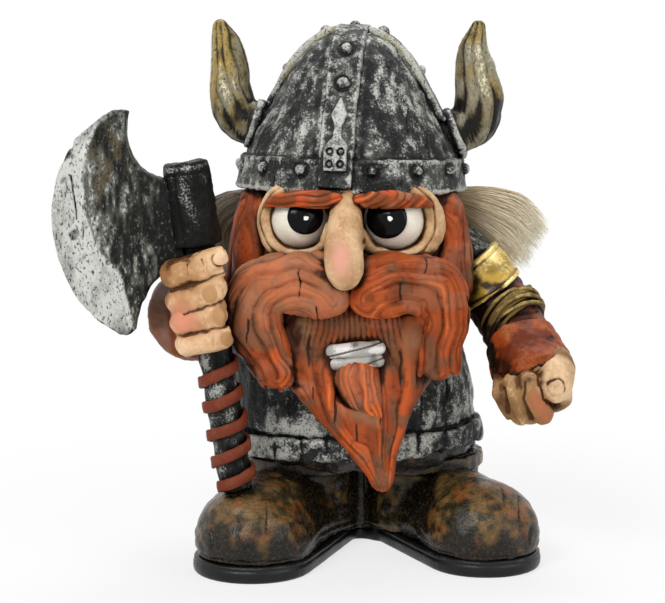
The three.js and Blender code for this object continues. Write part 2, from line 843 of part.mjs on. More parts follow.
// The plate is thinned from the socket to the cutting edge by two slanting planes.
function blade(grow) {
  const basis = new THREE.Matrix4().makeBasis(haftAcross, haftAxis, haftForward);
  basis.setPosition(onHaft(socketStart));
  const wedge = new THREE.Shape();
  wedge.moveTo(2, -bladeRootThickness / 2 - grow);
  wedge.lineTo(2, bladeRootThickness / 2 + grow);
  wedge.lineTo(-27, bladeRootThickness * 0.4 + grow);
  wedge.lineTo(-44, bladeEdgeThickness / 2 + grow);
  wedge.lineTo(-44, -bladeEdgeThickness / 2 - grow);
  wedge.lineTo(-27, -bladeRootThickness * 0.4 - grow);
  const geometry = new THREE.ExtrudeGeometry(wedge, { depth: 90, bevelEnabled: false });
  geometry.translate(0, 0, -45);
  geometry.rotateX(Math.PI / 2);
  const thinning = solidOf(geometry.applyMatrix4(basis));
  return plate(bladeOutline(), bladeRootThickness + 2, grow, basis).intersect(thinning);
}

// A strip wound as one unbroken helix. Its section is given by corners, each [share of half the width, share
// of half the thickness].
function helixRings(helix, grow) {
  const { start, axis, forward, across, radius, pitch, turns, width, thickness, corners } = helix;
  const rings = [];
  for (let i = 0; i <= turns * stepsPerTurn; i++) {
    const turn = radians(helix.startTurn) + (i / stepsPerTurn) * 2 * Math.PI * helix.hand;
    const outward = across.clone().multiplyScalar(Math.cos(turn)).addScaledVector(forward, Math.sin(turn));
    const centre = start
      .clone()
      .addScaledVector(axis, (i / stepsPerTurn) * pitch)
      .addScaledVector(outward, radius);
    rings.push(
      corners.map(([w, t]) =>
        centre
          .clone()
          .addScaledVector(axis, w * (width / 2 + grow))
          .addScaledVector(outward, t * (thickness / 2 + grow)),
      ),
    );
  }
  return rings;
}

// The least gap between two turns of a winding, measured on the points of its rings.
function leastGap(rings) {
  let least = Infinity;
  for (let i = 0; i < rings.length; i++) {
    for (const other of rings.slice(i + stepsPerTurn / 2).flat()) {
      for (const point of rings[i]) least = Math.min(least, point.distanceTo(other));
    }
  }
  return least;
}

const gripHelix = {
  start: onHaft(gripStart),
  axis: haftAxis,
  forward: haftForward,
  across: haftAcross,
  radius: haftRadius + windingGap + gripStripThickness / 2,
  pitch: gripPitch,
  turns: gripTurns,
  startTurn: gripStartTurn,
  hand: -1,
  width: gripStripWidth,
  thickness: gripStripThickness,
  corners: [[-1, -1], [1, -1], [0.86, 1], [-0.86, 1]],
};
const gripWrap = (grow) => skin(helixRings(gripHelix, grow));

// Right arm: the sleeve comes forward to a fist that holds the haft

const sleeveRightStations = [
  [-29, 2, 77, 8.6],
  [-40.5, -2, 67, 10.4],
  [-43.8, -12, 66.4, 12],
  [-44, -23, 69.4, 12.6],
];
const sleeveRight = (grow) =>
  limb(sleeveRightStations, grow, { steps: 5, sides: 14, roundEnds: false, facing: [0, 0, 1] });

// Centre of a point of the fist, by its place across, in front of and along the haft.
const atHaft = (across, front, along) =>
  onHaft(along)
    .addScaledVector(haftAcross, across)
    .addScaledVector(haftForward, front)
    .toArray();

const fistBottom = 41.4; // along the haft, the middle of the little finger
const fingerSpacing = [0, 6.6, 14, 21.6];

function handRight(grow) {
  const fingers = fingerSpacing.flatMap((rise, i) => {
    const along = fistBottom + rise;
    const r = fingerRadius * [0.84, 0.98, 1, 1.04][i];
    const tip = [2.4, 2.6, 3.2, 3.4][i];
    return [
      [
        [...atHaft(-6.4, -5, along - 0.6), r],
        [...atHaft(-8, 1, along - 0.8), r],
        [...atHaft(-7.2, 6, along - 0.4), r],
      ],
      [
        [...atHaft(-6.8, 6.8, along - 0.3), r],
        [...atHaft(-1, 9, along + 0.8), r],
        [...atHaft(tip, 8.6, along + 1.6), r * 0.96],
      ],
    ].map((stations) => limb(stations, grow, { steps: 2, facing: [0, 0, 1] }));
  });
  const palm = ball(atHaft(-4.8, -2.4, fistBottom + 10.6), [7.6, 8.6, 14.5], grow, [0, -8, 0], 10);
  const thumb = limb(
    [
      [...atHaft(-4, -8, fistBottom + 12), 4.4],
      [...atHaft(1.6, -9, fistBottom + 15), 3.8],
    ],
    grow,
    { steps: 1, facing: [0, 0, 1] },
  );
  return join(palm, thumb, ...fingers);
}

// Left arm: a sleeve of the tunic, the gold armband, the bound forearm, the cuff and the fist

const armPath = [
  [28.5, 3, 84],
  [35.8, -4, 77.1],
  [43.2, -15, 65.8],
  [47.6, -25.6, 56],
];
const armCurve = new THREE.CatmullRomCurve3(armPath.map(vec), false, "centripetal");
const onArm = (t) => armCurve.getPointAt(t).toArray();
const armStretch = (from, to, radii, grow, options) =>
  limb(
    radii.map((radius, i) => [...onArm(from + ((to - from) * i) / (radii.length - 1)), radius]),
    grow,
    { sides: 12, roundEnds: false, ...options },
  );
const armLength = armCurve.getLength();
const armbandMiddle = 0.32;
const armbandHalf = armbandLength / 2 / armLength;

const upperSleeve = (grow) => armStretch(0, armbandMiddle, [8.4, 8.6, 8.6], grow, { steps: 2 });

function armband(grow) {
  const low = armbandMiddle - armbandHalf;
  const high = armbandMiddle + armbandHalf;
  const rim = (from, to, radius) => armStretch(from, to, [radius, radius], grow, { steps: 1 });
  return join(
    armStretch(low, high, [armbandRadius - 0.4, armbandRadius], grow, { steps: 2 }),
    rim(high - 1.5 / armLength, high, armbandRadius + 0.5),
    rim(low, low + 1.3 / armLength, armbandRadius + 0.25),
  );
}

const forearmRadius = 8.7;
const forearm = (grow) =>
  armStretch(armbandMiddle + 0.02, 0.9, [8.8, forearmRadius, forearmRadius + 0.1, 9.2], grow, { steps: 5 });

const cuff = (grow) => armStretch(0.83, 1, [9.7, 9.9, 10.4], grow, { steps: 2 });

const cordMiddle = 0.68;
const cordAxis = armCurve.getTangentAt(cordMiddle);
const cordForward = new THREE.Vector3(0, -1, 0)
  .addScaledVector(cordAxis, cordAxis.y)
  .normalize();
const cordHelix = {
  start: armCurve.getPointAt(cordMiddle).addScaledVector(cordAxis, (-cordTurns * cordPitch) / 2),
  axis: cordAxis,
  forward: cordForward,
  across: new THREE.Vector3().crossVectors(cordForward, cordAxis).normalize(),
  radius: forearmRadius + 0.5 + windingGap + cordRadius,
  pitch: cordPitch,
  turns: cordTurns,
  startTurn: -90,
  hand: 1,
  width: cordRadius * 2,
  thickness: cordRadius * 2,
  corners: Array.from({ length: 6 }, (_, k) => [Math.cos((k * Math.PI) / 3), Math.sin((k * Math.PI) / 3)]),
};
const cordWrap = (grow) => skin(helixRings(cordHelix, grow));

for (const [name, winding] of Object.entries({ axe_grip_wrap: gripHelix, cord_wrap_left: cordHelix })) {
  console.log(`${name}: least gap to itself ${leastGap(helixRings(winding, 0)).toFixed(2)} mm`);
}

// Knuckle, middle joint and tip of each finger that shows under the left thumb.
const handLeftFingers = [
  { radius: 2.7, knuckle: [40, -29, 52.6], joint: [39.8, -36.4, 50.4], tip: [43.6, -36, 43.8] },
  { radius: 3, knuckle: [42.6, -29, 53.6], joint: [42.2, -38.6, 51.4], tip: [46.6, -38.2, 44.2] },
  { radius: 3.4, knuckle: [46, -29, 54.6], joint: [45.6, -40, 52.6], tip: [50.4, -39.4, 45.2] },
  { radius: 3.5, knuckle: [52, -29, 52], joint: [53.6, -37.6, 49.6], tip: [54, -33, 47.4] },
];

function handLeft(grow) {
  const fingers = handLeftFingers.flatMap(({ radius, knuckle, joint, tip }) =>
    [[knuckle, joint], [joint, tip]].map((ends) =>
      limb(ends.map((point) => [...point, radius]), grow, { steps: 1, facing: [1, 0, 0] }),
    ),
  );
  const palm = ball([48.4, -30.6, 50.6], [9, 8.4, 8.6], grow, [0, 0, 0], 10);
  const thumb = limb(
    [
      [53.6, -27, 57.6, 4.2],
      [54.6, -34, 56.6, 4.5],
      [52, -40.4, 53, 4.7],
    ],
    grow,
    { steps: 3, sides: 7, facing: [0, 0, 1] },
  );
  return join(palm, thumb, ...fingers);
}

// Real hair glued under the helmet's rim: a tuft on each side and a fringe at the back

const hairLeft = (grow) =>
  limb(
    [
      [29.5, 7, 98, 3.6],
      [37, 6, 95.4, 6.4],
      [45, 6, 91.8, 8.2],
      [50.4, 6, 87.4, 6.4],
    ],
    grow,
    { steps: 5, sides: 10, depth: 0.7 },
  );
const hairRight = (grow) =>
  limb(
    [
      [-27.6, 8, 98, 3.6],
      [-33.4, 7, 97.4, 4.4],
      [-38.4, 7, 94, 5],
      [-41, 8, 88.6, 4],
    ],
    grow,
    { steps: 5, sides: 10, depth: 0.8 },
  );

// The fringe hangs in an arc behind the head, from the helmet's rim to the shoulders.
function hairBack(grow) {
  const spread = 62;
  const steps = 8;
  const sides = 8;
  const rings = [];
  for (let i = 0; i <= steps; i++) {
    const share = (i / steps) * 2 - 1;
    const angle = radians(share * spread) + (grow / 29) * share;
    const outward = new THREE.Vector3(Math.sin(angle), Math.cos(angle), 0);
    const taper = Math.cos(share * radians(62));
    rings.push(
      Array.from({ length: sides }, (_, k) => {
        const turn = (k / sides) * 2 * Math.PI;
        return new THREE.Vector3(-0.5, 0, 89)
          .addScaledVector(outward, 28.6 + (4.4 * taper + grow) * Math.cos(turn))
          .add(new THREE.Vector3(0, 0, (12 * taper + grow) * Math.sin(turn)));
      }),
    );
  }
  return skin(rings);
}

// Assembly: a piece is cut by every piece listed before it, grown by the seam, wherever the two come close.

const pieces = [
  ["sole_plate", solePlate, "sole"],
  ["axe_grip_wrap", gripWrap, "leather"],
  ["axe_blade", blade, "iron"],
  ["axe_socket", axeSocket, "haft"],
  ["axe_haft", haft, "haft"],
  ["cord_wrap_left", cordWrap, "cord"],
  ["armband_left", armband, "gold"],
  ["cuff_left", cuff, "sleeve"],
  ["hand_left", handLeft, "skin"],
  ["forearm_left", forearm, "sleeve"],
  ["upper_sleeve_left", upperSleeve, "armour"],
  ["hand_right", handRight, "skin"],
  ["sleeve_right", sleeveRight, "sleeve"],
  ["pupil_right", (grow) => pupil(eyes.right, grow), "pupil"],
  ["pupil_left", (grow) => pupil(eyes.left, grow), "pupil"],
  ["eyebrow_right", (grow) => brow("right", grow), "hair"],
  ["eyebrow_left", (grow) => brow("left", grow), "hair"],
  ["nose", nose, "skin"],
  ["eyeball_right", (grow) => eyeball(eyes.right, grow), "eye"],
  ["eyeball_left", (grow) => eyeball(eyes.left, grow), "eye"],
  ["moustache_right", (grow) => moustache("right", grow), "hair"],
  ["moustache_left", (grow) => moustache("left", grow), "hair"],
  ["upper_teeth", (grow) => teeth("upper", grow), "teeth"],
  ["lower_teeth", (grow) => teeth("lower", grow), "teeth"],
  ["lip_tuft", lipTuft, "hair"],
  ["eyelid_right", (grow) => eyelid("right", grow), "skin"],
  ["eyelid_left", (grow) => eyelid("left", grow), "skin"],
  ["strap_ornament", strapOrnament, "armour"],
  ["helmet_crest_strap", crestStrap, "armour"],
  ["horn_right", (grow) => horn(horns.right, grow), "horn"],
  ["horn_left", (grow) => horn(horns.left, grow), "horn"],
  ["horn_collar_right", (grow) => hornCollar(horns.right, grow), "armour"],
  ["horn_collar_left", (grow) => hornCollar(horns.left, grow), "armour"],
  ["helmet_strap_right", (grow) => sideStrap("right", grow), "armour"],
  ["helmet_strap_left", (grow) => sideStrap("left", grow), "armour"],
  ["helmet_band", band, "armour"],
  ["head", skull, "skin"],
  ["helmet_dome", dome, "armour"],
  ["beard", beard, "hair"],
  ["belt", belt, "armour"],
  ["boot_cuff_right", (grow) => bootCuff(boots.right, grow), "boot"],
  ["boot_cuff_left", (grow) => bootCuff(boots.left, grow), "boot"],
  ["boot_right", (grow) => bootUpper(boots.right, grow), "boot"],
  ["boot_left", (grow) => bootUpper(boots.left, grow), "boot"],
  ["tunic", tunic, "armour"],
  ["trousers", trousers, "trousers"],
  ["hair_left", hairLeft, "fur"],
  ["hair_right", hairRight, "fur"],
  ["hair_back", hairBack, "fur"],
];

const materials = Object.fromEntries(
  Object.entries(paint).map(([name, look]) => [name, new THREE.MeshStandardMaterial({ name, ...look })]),
);

const figure = new THREE.Group();
figure.name = "viking_figure";
figure.position.y = -originSetback;
const placedForms = [];

for (const [name, form, slot] of pieces) {
  const own = form(0);
  const box = own.boundingBox();
  const near = placedForms.filter(({ reach }) =>
    box.min.every((low, i) => low < reach.max[i] && reach.min[i] < box.max[i]),
  );
  const solid = mainBody(cut(own, ...near.map(({ grown }) => grown)));
  const mesh = new THREE.Mesh(geometryOf(solid), materials[slot]);
  mesh.name = name;
  figure.add(mesh);
  const grown = form(seam).add(solid);
  placedForms.push({ grown, reach: grown.boundingBox() });
}

export default figure;
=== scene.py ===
# The look of a cast and painted viking figure, sculpted in code over the imported part.
# Sculpting is done in millimetres in the part's own frame: +Z up, +X to the viewer's right, -Y towards the
# viewer. "Right" and "left" in names are the figure's own, so its right hand is at -X.
#
# A piece starts as a form, a function that gives the signed distance of points to its surface. The form is
# meshed finely, its vertices are raised and lowered by the piece's relief, and its paint is worked out at the
# same vertices: a tint, a wash that lies in the hollows and also carries painted shade where neighbouring pieces
# crowd, and a rub that catches the ridges and on some pieces carries painted highlights. Each build function
# below makes one piece, or one for each side, in that order: form, relief, paint.

import itertools
import math

import bpy
import numpy as np
import openvdb as vdb
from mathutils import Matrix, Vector


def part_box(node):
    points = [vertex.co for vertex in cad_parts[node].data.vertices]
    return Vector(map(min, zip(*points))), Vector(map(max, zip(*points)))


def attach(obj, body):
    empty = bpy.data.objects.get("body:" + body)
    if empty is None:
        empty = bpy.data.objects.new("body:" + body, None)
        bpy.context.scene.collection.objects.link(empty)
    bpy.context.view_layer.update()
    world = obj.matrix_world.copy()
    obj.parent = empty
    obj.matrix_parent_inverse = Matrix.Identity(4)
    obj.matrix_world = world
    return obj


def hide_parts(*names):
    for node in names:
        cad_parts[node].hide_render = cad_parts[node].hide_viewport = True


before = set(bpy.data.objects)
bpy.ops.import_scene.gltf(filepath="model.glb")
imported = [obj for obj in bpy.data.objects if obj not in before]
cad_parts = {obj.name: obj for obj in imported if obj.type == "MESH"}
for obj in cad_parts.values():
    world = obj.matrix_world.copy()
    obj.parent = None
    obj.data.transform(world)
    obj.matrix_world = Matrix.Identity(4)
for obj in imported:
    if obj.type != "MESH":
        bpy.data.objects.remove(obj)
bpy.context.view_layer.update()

MM = 0.001
TO_VIEWER = np.array([0, -1.0, 0])
QUICK = 1.0
FINEST = 0.26 * QUICK  # mesh pitch of the smallest pieces
FINE = 0.32 * QUICK  # mesh pitch of the face and hands
MEDIUM = 0.42 * QUICK
COARSE = 0.55 * QUICK


# Colours


def linear(code):
    """A colour code such as d9622b as linear red, green and blue."""
    parts = [int(code[i : i + 2], 16) / 255 for i in (0, 2, 4)]
    return np.array([c / 12.92 if c <= 0.04045 else ((c + 0.055) / 1.055) ** 2.4 for c in parts])


def mixed(tint, code, share):
    """A tint mixed with a colour code by each point's share of it."""
    return tint + (linear(code) - tint) * np.asarray(share)[..., None]


def between(first, second, share):
    """Two colour codes mixed by each point's share of the second."""
    return mixed(linear(first), second, share)


# Grids of signed distances


def trilinear(share, value_at):
    """Values between the corners of cells, from each point's share along x, y and z."""
    weights = (1 - share, share)
    total = 0
    for dx, dy, dz in itertools.product((0, 1), repeat=3):
        total = total + weights[dx][:, 0] * weights[dy][:, 1] * weights[dz][:, 2] * value_at(dx, dy, dz)
    return total


class Grid:
    """Values on a regular grid, read between the grid's points by trilinear interpolation."""

    def __init__(self, values, low, pitch):
        self.values = np.ascontiguousarray(values, np.float32)
        self.low = np.asarray(low, np.float32)
        self.pitch = pitch

    def sample(self, points):
        last = np.array(self.values.shape) - 1.001
        place = np.clip((points - self.low) / self.pitch, 0, last)
        cell = place.astype(np.int32)
        flat = self.values.ravel()
        ny, nz = self.values.shape[1:]
        corner = (cell[:, 0] * ny + cell[:, 1]) * nz + cell[:, 2]
        share = (place - cell).astype(np.float32)
        return trilinear(share, lambda dx, dy, dz: flat[corner + (dx * ny + dy) * nz + dz])

    def slope(self, points):
        """The unit vector along which the values rise."""
        shifts = self.pitch * np.eye(3, dtype=np.float32)
        slope = np.stack([self.sample(points + shift) - self.sample(points - shift) for shift in shifts], axis=1)
        return slope / np.maximum(np.linalg.norm(slope, axis=1, keepdims=True), 1e-6)

    def blurred(self, radius):
        sigma = radius / self.pitch
        reach = int(math.ceil(2.5 * sigma))
        weights = np.exp(-0.5 * (np.arange(-reach, reach + 1) / sigma) ** 2)
        weights = weights / weights.sum()
        values = self.values
        for axis in range(3):
            wide = np.pad(values, [(reach, reach) if a == axis else (0, 0) for a in range(3)], mode="edge")
            length = values.shape[axis]
            values = sum(w * wide.take(range(k, k + length), axis=axis) for k, w in enumerate(weights))
        return Grid(values, self.low, self.pitch)


def doubled(values, axis):
    """Values on a grid of half the pitch along one axis, with cubic values in between."""
    values = np.moveaxis(values, axis, 0)
    before = np.concatenate([values[:1], values[:-2]])
    after = np.concatenate([values[2:], values[-1:]])
    out = np.empty((2 * len(values) - 1,) + values.shape[1:], np.float32)
    out[::2] = values
    out[1::2] = (9 * (values[:-1] + values[1:]) - before - after) / 16
    return np.moveaxis(out, 0, axis)


def node_grid(names, pitch, reach, blur=0.0):
    """The signed distances round some of the part's nodes, out to reach."""
    corners, triangles = [], []
    count = 0
    for name in names:
        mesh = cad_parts[name].data
        co = np.empty(len(mesh.vertices) * 3, np.float32)
        mesh.vertices.foreach_get("co", co)
        mesh.calc_loop_triangles()
        tris = np.empty(len(mesh.loop_triangles) * 3, np.int32)
        mesh.loop_triangles.foreach_get("vertices", tris)
        corners.append(co.reshape(-1, 3) / MM)
        triangles.append(tris.reshape(-1, 3) + count)
        count += len(mesh.vertices)
    level = vdb.FloatGrid.createLevelSetFromPolygons(
        np.concatenate(corners),
        triangles=np.concatenate(triangles).astype(np.uint32),
        transform=vdb.createLinearTransform(voxelSize=pitch),
        halfWidth=reach / pitch,
    )
    low, high = level.evalActiveVoxelBoundingBox()
    values = np.empty([h - l + 1 for l, h in zip(low, high)], np.float32)
    level.copyToArray(values, ijk=low)
    grid = Grid(values, np.array(low) * pitch, pitch)
    return grid.blurred(blur) if blur else grid


# Curves


def unit(vectors):
    """Vectors of length 1 along the same directions."""
    return vectors / np.linalg.norm(vectors, axis=-1, keepdims=True)


def spline(stations, steps):
    """Points on a smooth curve through the stations, whose rows may hold a radius too."""
    rows = np.asarray(stations, float)
    padded = np.vstack([2 * rows[0] - rows[1], rows, 2 * rows[-1] - rows[-2]])
    out = []
    for a, b, c, d in zip(padded, padded[1:], padded[2:], padded[3:]):
        for t in np.arange(steps) / steps:
            bend = (2 * a - 5 * b + 4 * c - d) * t**2 + (3 * b - a - 3 * c + d) * t**3
            out.append(0.5 * (2 * b + (c - a) * t + bend))
    out.append(rows[-1])
    return np.array(out)


def curve(points, steps=10):
    """Points on the Bezier curve of some control points, without its last one."""
    out = []
    for t in np.arange(steps) / steps:
        row = np.array(points, float)
        while len(row) > 1:
            row = row[:-1] + (row[1:] - row[:-1]) * t
        out.append(row[0])
    return out


def beside_path(u, v, path):
    """For points in a plane: how far along a path their nearest place on it is, and how far they are to its left."""
    u, v, path = (np.asarray(values, float) for values in (u, v, path))
    lengths = np.concatenate([[0], np.cumsum(np.linalg.norm(np.diff(path, axis=0), axis=1))])
    best, along, aside = np.full(len(u), 1e9), np.zeros(len(u)), np.zeros(len(u))
    for start, stop, low, high in zip(path, path[1:], lengths, lengths[1:]):
        run_u, run_v = stop - start
        off_u, off_v = u - start[0], v - start[1]
        share = np.clip((off_u * run_u + off_v * run_v) / (run_u**2 + run_v**2), 0, 1)
        gap = np.hypot(off_u - share * run_u, off_v - share * run_v)
        near = gap < best
        best = np.where(near, gap, best)
        along = np.where(near, low + share * (high - low), along)
        aside = np.where(near, np.copysign(gap, run_u * off_v - run_v * off_u), aside)
    return along, aside


def nearest_on(points, path):
    """Index of the nearest point of a path, for each point."""
    gaps = np.stack([np.linalg.norm(points - p[:3].astype(np.float32), axis=1) for p in path])
    return gaps.argmin(axis=0)


# Forms: each returns the signed distances of points, negative inside


def melt(a, b, width):
    """The union of two forms with a soft crease."""
    share = np.clip(0.5 + 0.5 * (b - a) / width, 0, 1)
    return b + (a - b) * share - width * share * (1 - share)


def carve(a, b, width):
    """Form a without form b."""
    return -melt(-a, b, width)


def limit(a, b, width):
    """What two forms share."""
    return -melt(-a, -b, width)


def limb(points, stations, flat=1.0, facing=(0, -1, 0), steps=3):
    """A tapered limb through stations [x, y, z, radius], flattened along facing."""
    path = spline(stations, steps)
    toward = np.array(facing, float)
    stretch = (np.eye(3) + (1 / flat - 1) * np.outer(toward, toward)).astype(np.float32)
    moved = points @ stretch
    centres = path[:, :3] @ stretch
    best = np.inf
    for a, b, start, stop in zip(centres, centres[1:], path[:, 3], path[1:, 3]):
        run = (b - a).astype(np.float32)
        offset = moved - a.astype(np.float32)
        share = np.clip(offset @ run / (run @ run), 0, 1)
        gap = np.linalg.norm(offset - share[:, None] * run, axis=1)
        best = np.minimum(best, gap - (start + (stop - start) * share))
    return best


def ball(points, centre, radii, turn=0.0):
    """An ellipsoid, turned about the vertical by degrees."""
    x, y, z = (points - np.array(centre, np.float32)).T
    radii = np.array(radii, np.float32)
    scaled = np.stack([*turned(x, y, -math.radians(turn)), z], axis=1) / radii
    near = np.linalg.norm(scaled, axis=1)
    return near * (near - 1) / np.maximum(np.linalg.norm(scaled / radii, axis=1), 1e-6)


def turned(u, v, angle):
    """A place in a plane, turned by an angle about the plane's middle."""
    c, s = math.cos(angle), math.sin(angle)
    return u * c - v * s, v * c + u * s


def oval(x, y, width, depth):
    """Distance to an ellipse in a level plane."""
    near = np.hypot(x / width, y / depth)
    slope = np.hypot(x / width**2, y / depth**2)
    return near * (near - 1) / np.maximum(slope, 1e-6)


def plan_distance(x, h, outline):
    """Distance to an outline of corners in a plane, negative inside it."""
    corners = outline + outline[:1]
    inside = np.zeros(len(x), bool)
    for (ax, ah), (bx, bh) in zip(corners, corners[1:]):
        crosses = (ah > h) != (bh > h)
        inside ^= crosses & (x < (bx - ax) * (h - ah) / (bh - ah + 1e-9) + ax)
    gap = np.abs(beside_path(x, h, corners)[1])
    return np.where(inside, -gap, gap)


# Noise and patterns


LATTICE = np.random.default_rng(11).random((32, 32, 32)).astype(np.float32) * 2 - 1


def noise(points, size, seed, stretch=(1, 1, 1)):
    """Smooth noise from -1 to 1 whose lumps are about size across, drawn out by stretch."""
    place = points / (size * np.array(stretch, np.float32)) + 13.7 * seed + 91.3
    cell = np.floor(place).astype(np.int32)
    share = place - cell
    ends = (cell & 31, (cell + 1) & 31)
    smooth = share * share * (3 - 2 * share)
    return 1.6 * trilinear(smooth, lambda dx, dy, dz: LATTICE[ends[dx][:, 0], ends[dy][:, 1], ends[dz][:, 2]])


def fractal(points, size, seed, octaves=3, stretch=(1, 1, 1)):
    """Noise of several sizes, each half of the one before."""
    return sum(noise(points, size / 2**k, seed + 7 * k, stretch) / 2**k for k in range(octaves)) / 1.6


def step_up(value, low, high):
    """A smooth step from 0 at low to 1 at high."""
    share = np.clip((value - low) / (high - low), 0, 1)
    return share * share * (3 - 2 * share)


def spot(u, v, width, height):
    """A soft oval spot, 1 in its middle."""
    return np.exp(-((u / width) ** 2 + (v / height) ** 2))


def groove(distance, width):
    """A V groove along distance 0: 1 at its bottom, 0 beyond width."""
    return np.clip(1 - np.abs(distance) / width, 0, 1)


def own_value(index, seed):
    """A random value from 0 to 1 for each strand or border between strands, by its number."""
    return np.random.default_rng(seed).random(256)[index.astype(np.int64) & 255]


def strands(across, seed, sharp=1.0):
    """Ridges one apart: 0 on a crest and -1 in a groove. Each strand lies at its own height."""
    strand = np.floor(across)
    ridge = 1 - np.abs(2 * (across - strand) - 1) ** (2 * sharp)
    return ridge - 1 - 0.35 * own_value(strand, seed + 3) * ridge


def crest_lines(across, seed):
    """Thin lines along the crests of strands, 1 on a line: some strands have one."""
    strand = np.floor(across)
    line = np.exp(-(((across - strand - 0.5) / 0.15) ** 2))
    return line * step_up(own_value(strand, seed + 9), 0.25, 0.7)


def border_lines(across, seed):
    """Thin lines between strands, 1 on a line: some borders have a strong one, some have none."""
    border = np.round(across)
    line = np.exp(-(((across - border) / 0.1) ** 2))
    return line * step_up(own_value(border, seed + 33), 0.15, 0.6)


def strand_tone(across, seed):
    """A tone of each strand's own, from -1 to 1, which runs over softly into the next strand's."""
    strand = np.floor(across - 0.5)
    share = step_up(across - 0.5 - strand, 0.3, 0.7)
    this, following = (own_value(index, seed + 21) * 2 - 1 for index in (strand, strand + 1))
    return this * (1 - share) + following * share


def cracks(points, y, places, width=0.42):
    """Short upright cracks in a surface near a y, at places of x, z and length: how deep they are, from 0 to 1."""
    aside = 0.25 * noise(points, 2.2, 5)
    deepest = 0
    for x, z, length in places:
        fade = np.clip(1.15 - np.abs(points[:, 2] - z) / (length / 2), 0, 1)
        depth = groove(points[:, 0] - x - aside, width) * np.minimum(fade * 2, 1)
        deepest = np.maximum(deepest, depth * (np.abs(points[:, 1] - y) < 9.6))
    return deepest


# Skins: meshed forms with what their paint needs


class Skin:
    def __init__(self, form, low, high, pitch):
        """Meshes a form inside a box. Everything in millimetres."""
        coarse = pitch * 2
        low = np.array(low, np.float32) - 2 * coarse
        counts = [int(math.ceil((h + 2 * coarse - l) / coarse)) + 1 for l, h in zip(low, high)]
        axes = [l + coarse * np.arange(n, dtype=np.float32) for l, n in zip(low, counts)]
        points = np.stack([g.ravel() for g in np.meshgrid(*axes, indexing="ij")], axis=1)
        values = form(points).reshape(counts).astype(np.float32)
        rough = Grid(np.clip(values, -4, 4), low, coarse)
        for axis in range(3):
            values = doubled(values, axis)
        values = np.ascontiguousarray(values)
        band = 4 * pitch
        volume = vdb.FloatGrid(band)
        volume.copyFromArray(np.clip(values, -band, band))
        corners, quads = volume.convertToQuads(0.0)
        self.points = (corners * pitch + low).astype(np.float32)
        self.normals = Grid(values, low, pitch).slope(self.points)
        a, b, c = (self.points[quads[:, k]] for k in range(3))
        facing = (np.cross(b - a, c - a) * self.normals[quads[:, 0]]).sum()
        self.quads = quads if facing > 0 else quads[:, ::-1]
        self.hollow = -rough.blurred(1.5).sample(self.points)
        self.relief = np.zeros(len(self.points), np.float32)
        self.still = self.points.copy()

    def raised(self, height):
        """Moves the points along their normals. The places before the move stay in self.still."""
        self.points = self.points + self.normals * np.asarray(height, np.float32)[:, None]
        self.relief = self.relief + height

    def shade(self):
        """How much the neighbours crowd a point, from 0 to about 1. The paints add it to the wash as painted shade and
        take it from the rub.
        """
        total = 0
        for reach in (1.4, 2.6, 4.6):
            free = NEIGHBOURS.sample(self.still + self.normals * reach)
            total = total + np.clip((reach - free) / reach - 0.12, 0, 1)
        return total / 3


NEIGHBOURS = node_grid([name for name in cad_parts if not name.startswith("hair")], 1.0, 7.0)


def node_box(name):
    low, high = (np.array(list(corner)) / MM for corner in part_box(name))
    return low, high


def sculpt(name, form, pitch, slack=None, room=0.0):
    """The skin of a form in a node's box with some room on every side. Where a slack is given, the form is kept
    within the node, grown by that slack, so that it follows the cuts of its neighbours."""
    low, high = node_box(name)
    if slack is None:
        return Skin(form, low - room, high + room, pitch)
    bounds = node_grid([name], 0.7, 3.0)
    return Skin(lambda points: limit(form(points), bounds.sample(points) - slack, 0.4), low - room, high + room, pitch)


def node_form(name, blur, grow, pitch=0.8):
    """The node's own shape, grown, with its facets smoothed away."""
    grid = node_grid([name], pitch, 5.0, blur)
    return lambda points: grid.sample(points) - grow


def mesh_object(name, points, faces, slot, layers, node=None):
    """A finished piece: points in millimetres, and layers of paint values at the vertices."""
    mesh = bpy.data.meshes.new(name)
    size = faces.shape[1]
    mesh.vertices.add(len(points))
    mesh.vertices.foreach_set("co", (points * MM).astype(np.float32).ravel())
    mesh.loops.add(faces.size)
    mesh.loops.foreach_set("vertex_index", faces.astype(np.int32).ravel())
    mesh.polygons.add(len(faces))
    mesh.polygons.foreach_set("loop_start", np.arange(0, faces.size, size, dtype=np.int32))
    mesh.polygons.foreach_set("use_smooth", np.ones(len(faces), bool))
    mesh.update(calc_edges=True)
    for layer, values in layers.items():
        if layer == "tint":
            colour = np.ones((len(points), 4), np.float32)
            colour[:, :3] = np.clip(np.asarray(values, np.float32), 0, 1)
            mesh.attributes.new(layer, "FLOAT_COLOR", "POINT").data.foreach_set("color", colour.ravel())
        else:
            values = np.ascontiguousarray(np.broadcast_to(values, len(points)), np.float32)
            mesh.attributes.new(layer, "FLOAT", "POINT").data.foreach_set("value", values)
    mesh.materials.append(PAINTS[slot])
    piece = bpy.data.objects.new(name, mesh)
    bpy.context.scene.collection.objects.link(piece)
    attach(piece, "root")
    if node:
        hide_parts(node)


def finish_piece(name, skin, slot, tint, wash_and_painted_shade, rub_and_painted_highlight):
    layers = {"tint": tint, "wash_and_painted_shade": np.clip(wash_and_painted_shade, 0, 1), "rub_and_painted_highlight": np.clip(rub_and_painted_highlight, 0, 1)}
    mesh_object(name, skin.points, skin.quads, slot, layers, name)


# Materials: a tint with a dark wash in the hollows, which also carries painted shade, and a rub on the ridges,
# which also carries painted highlights, both broken up by fine noise


def add_node(tree, kind, inputs, **settings):
    """A new shader node with its settings. Each of its inputs is set to a value or linked to another's output."""
    node = tree.nodes.new("ShaderNode" + kind)
    for key, value in settings.items():
        setattr(node, key, value)
    for socket, value in inputs.items():
        if isinstance(value, bpy.types.NodeSocket):
            tree.links.new(value, node.inputs[socket])
        else:
            node.inputs[socket].default_value = value
    return node


def math_node(tree, operation, *values):
    return add_node(tree, "Math", dict(enumerate(values)), operation=operation).outputs[0]


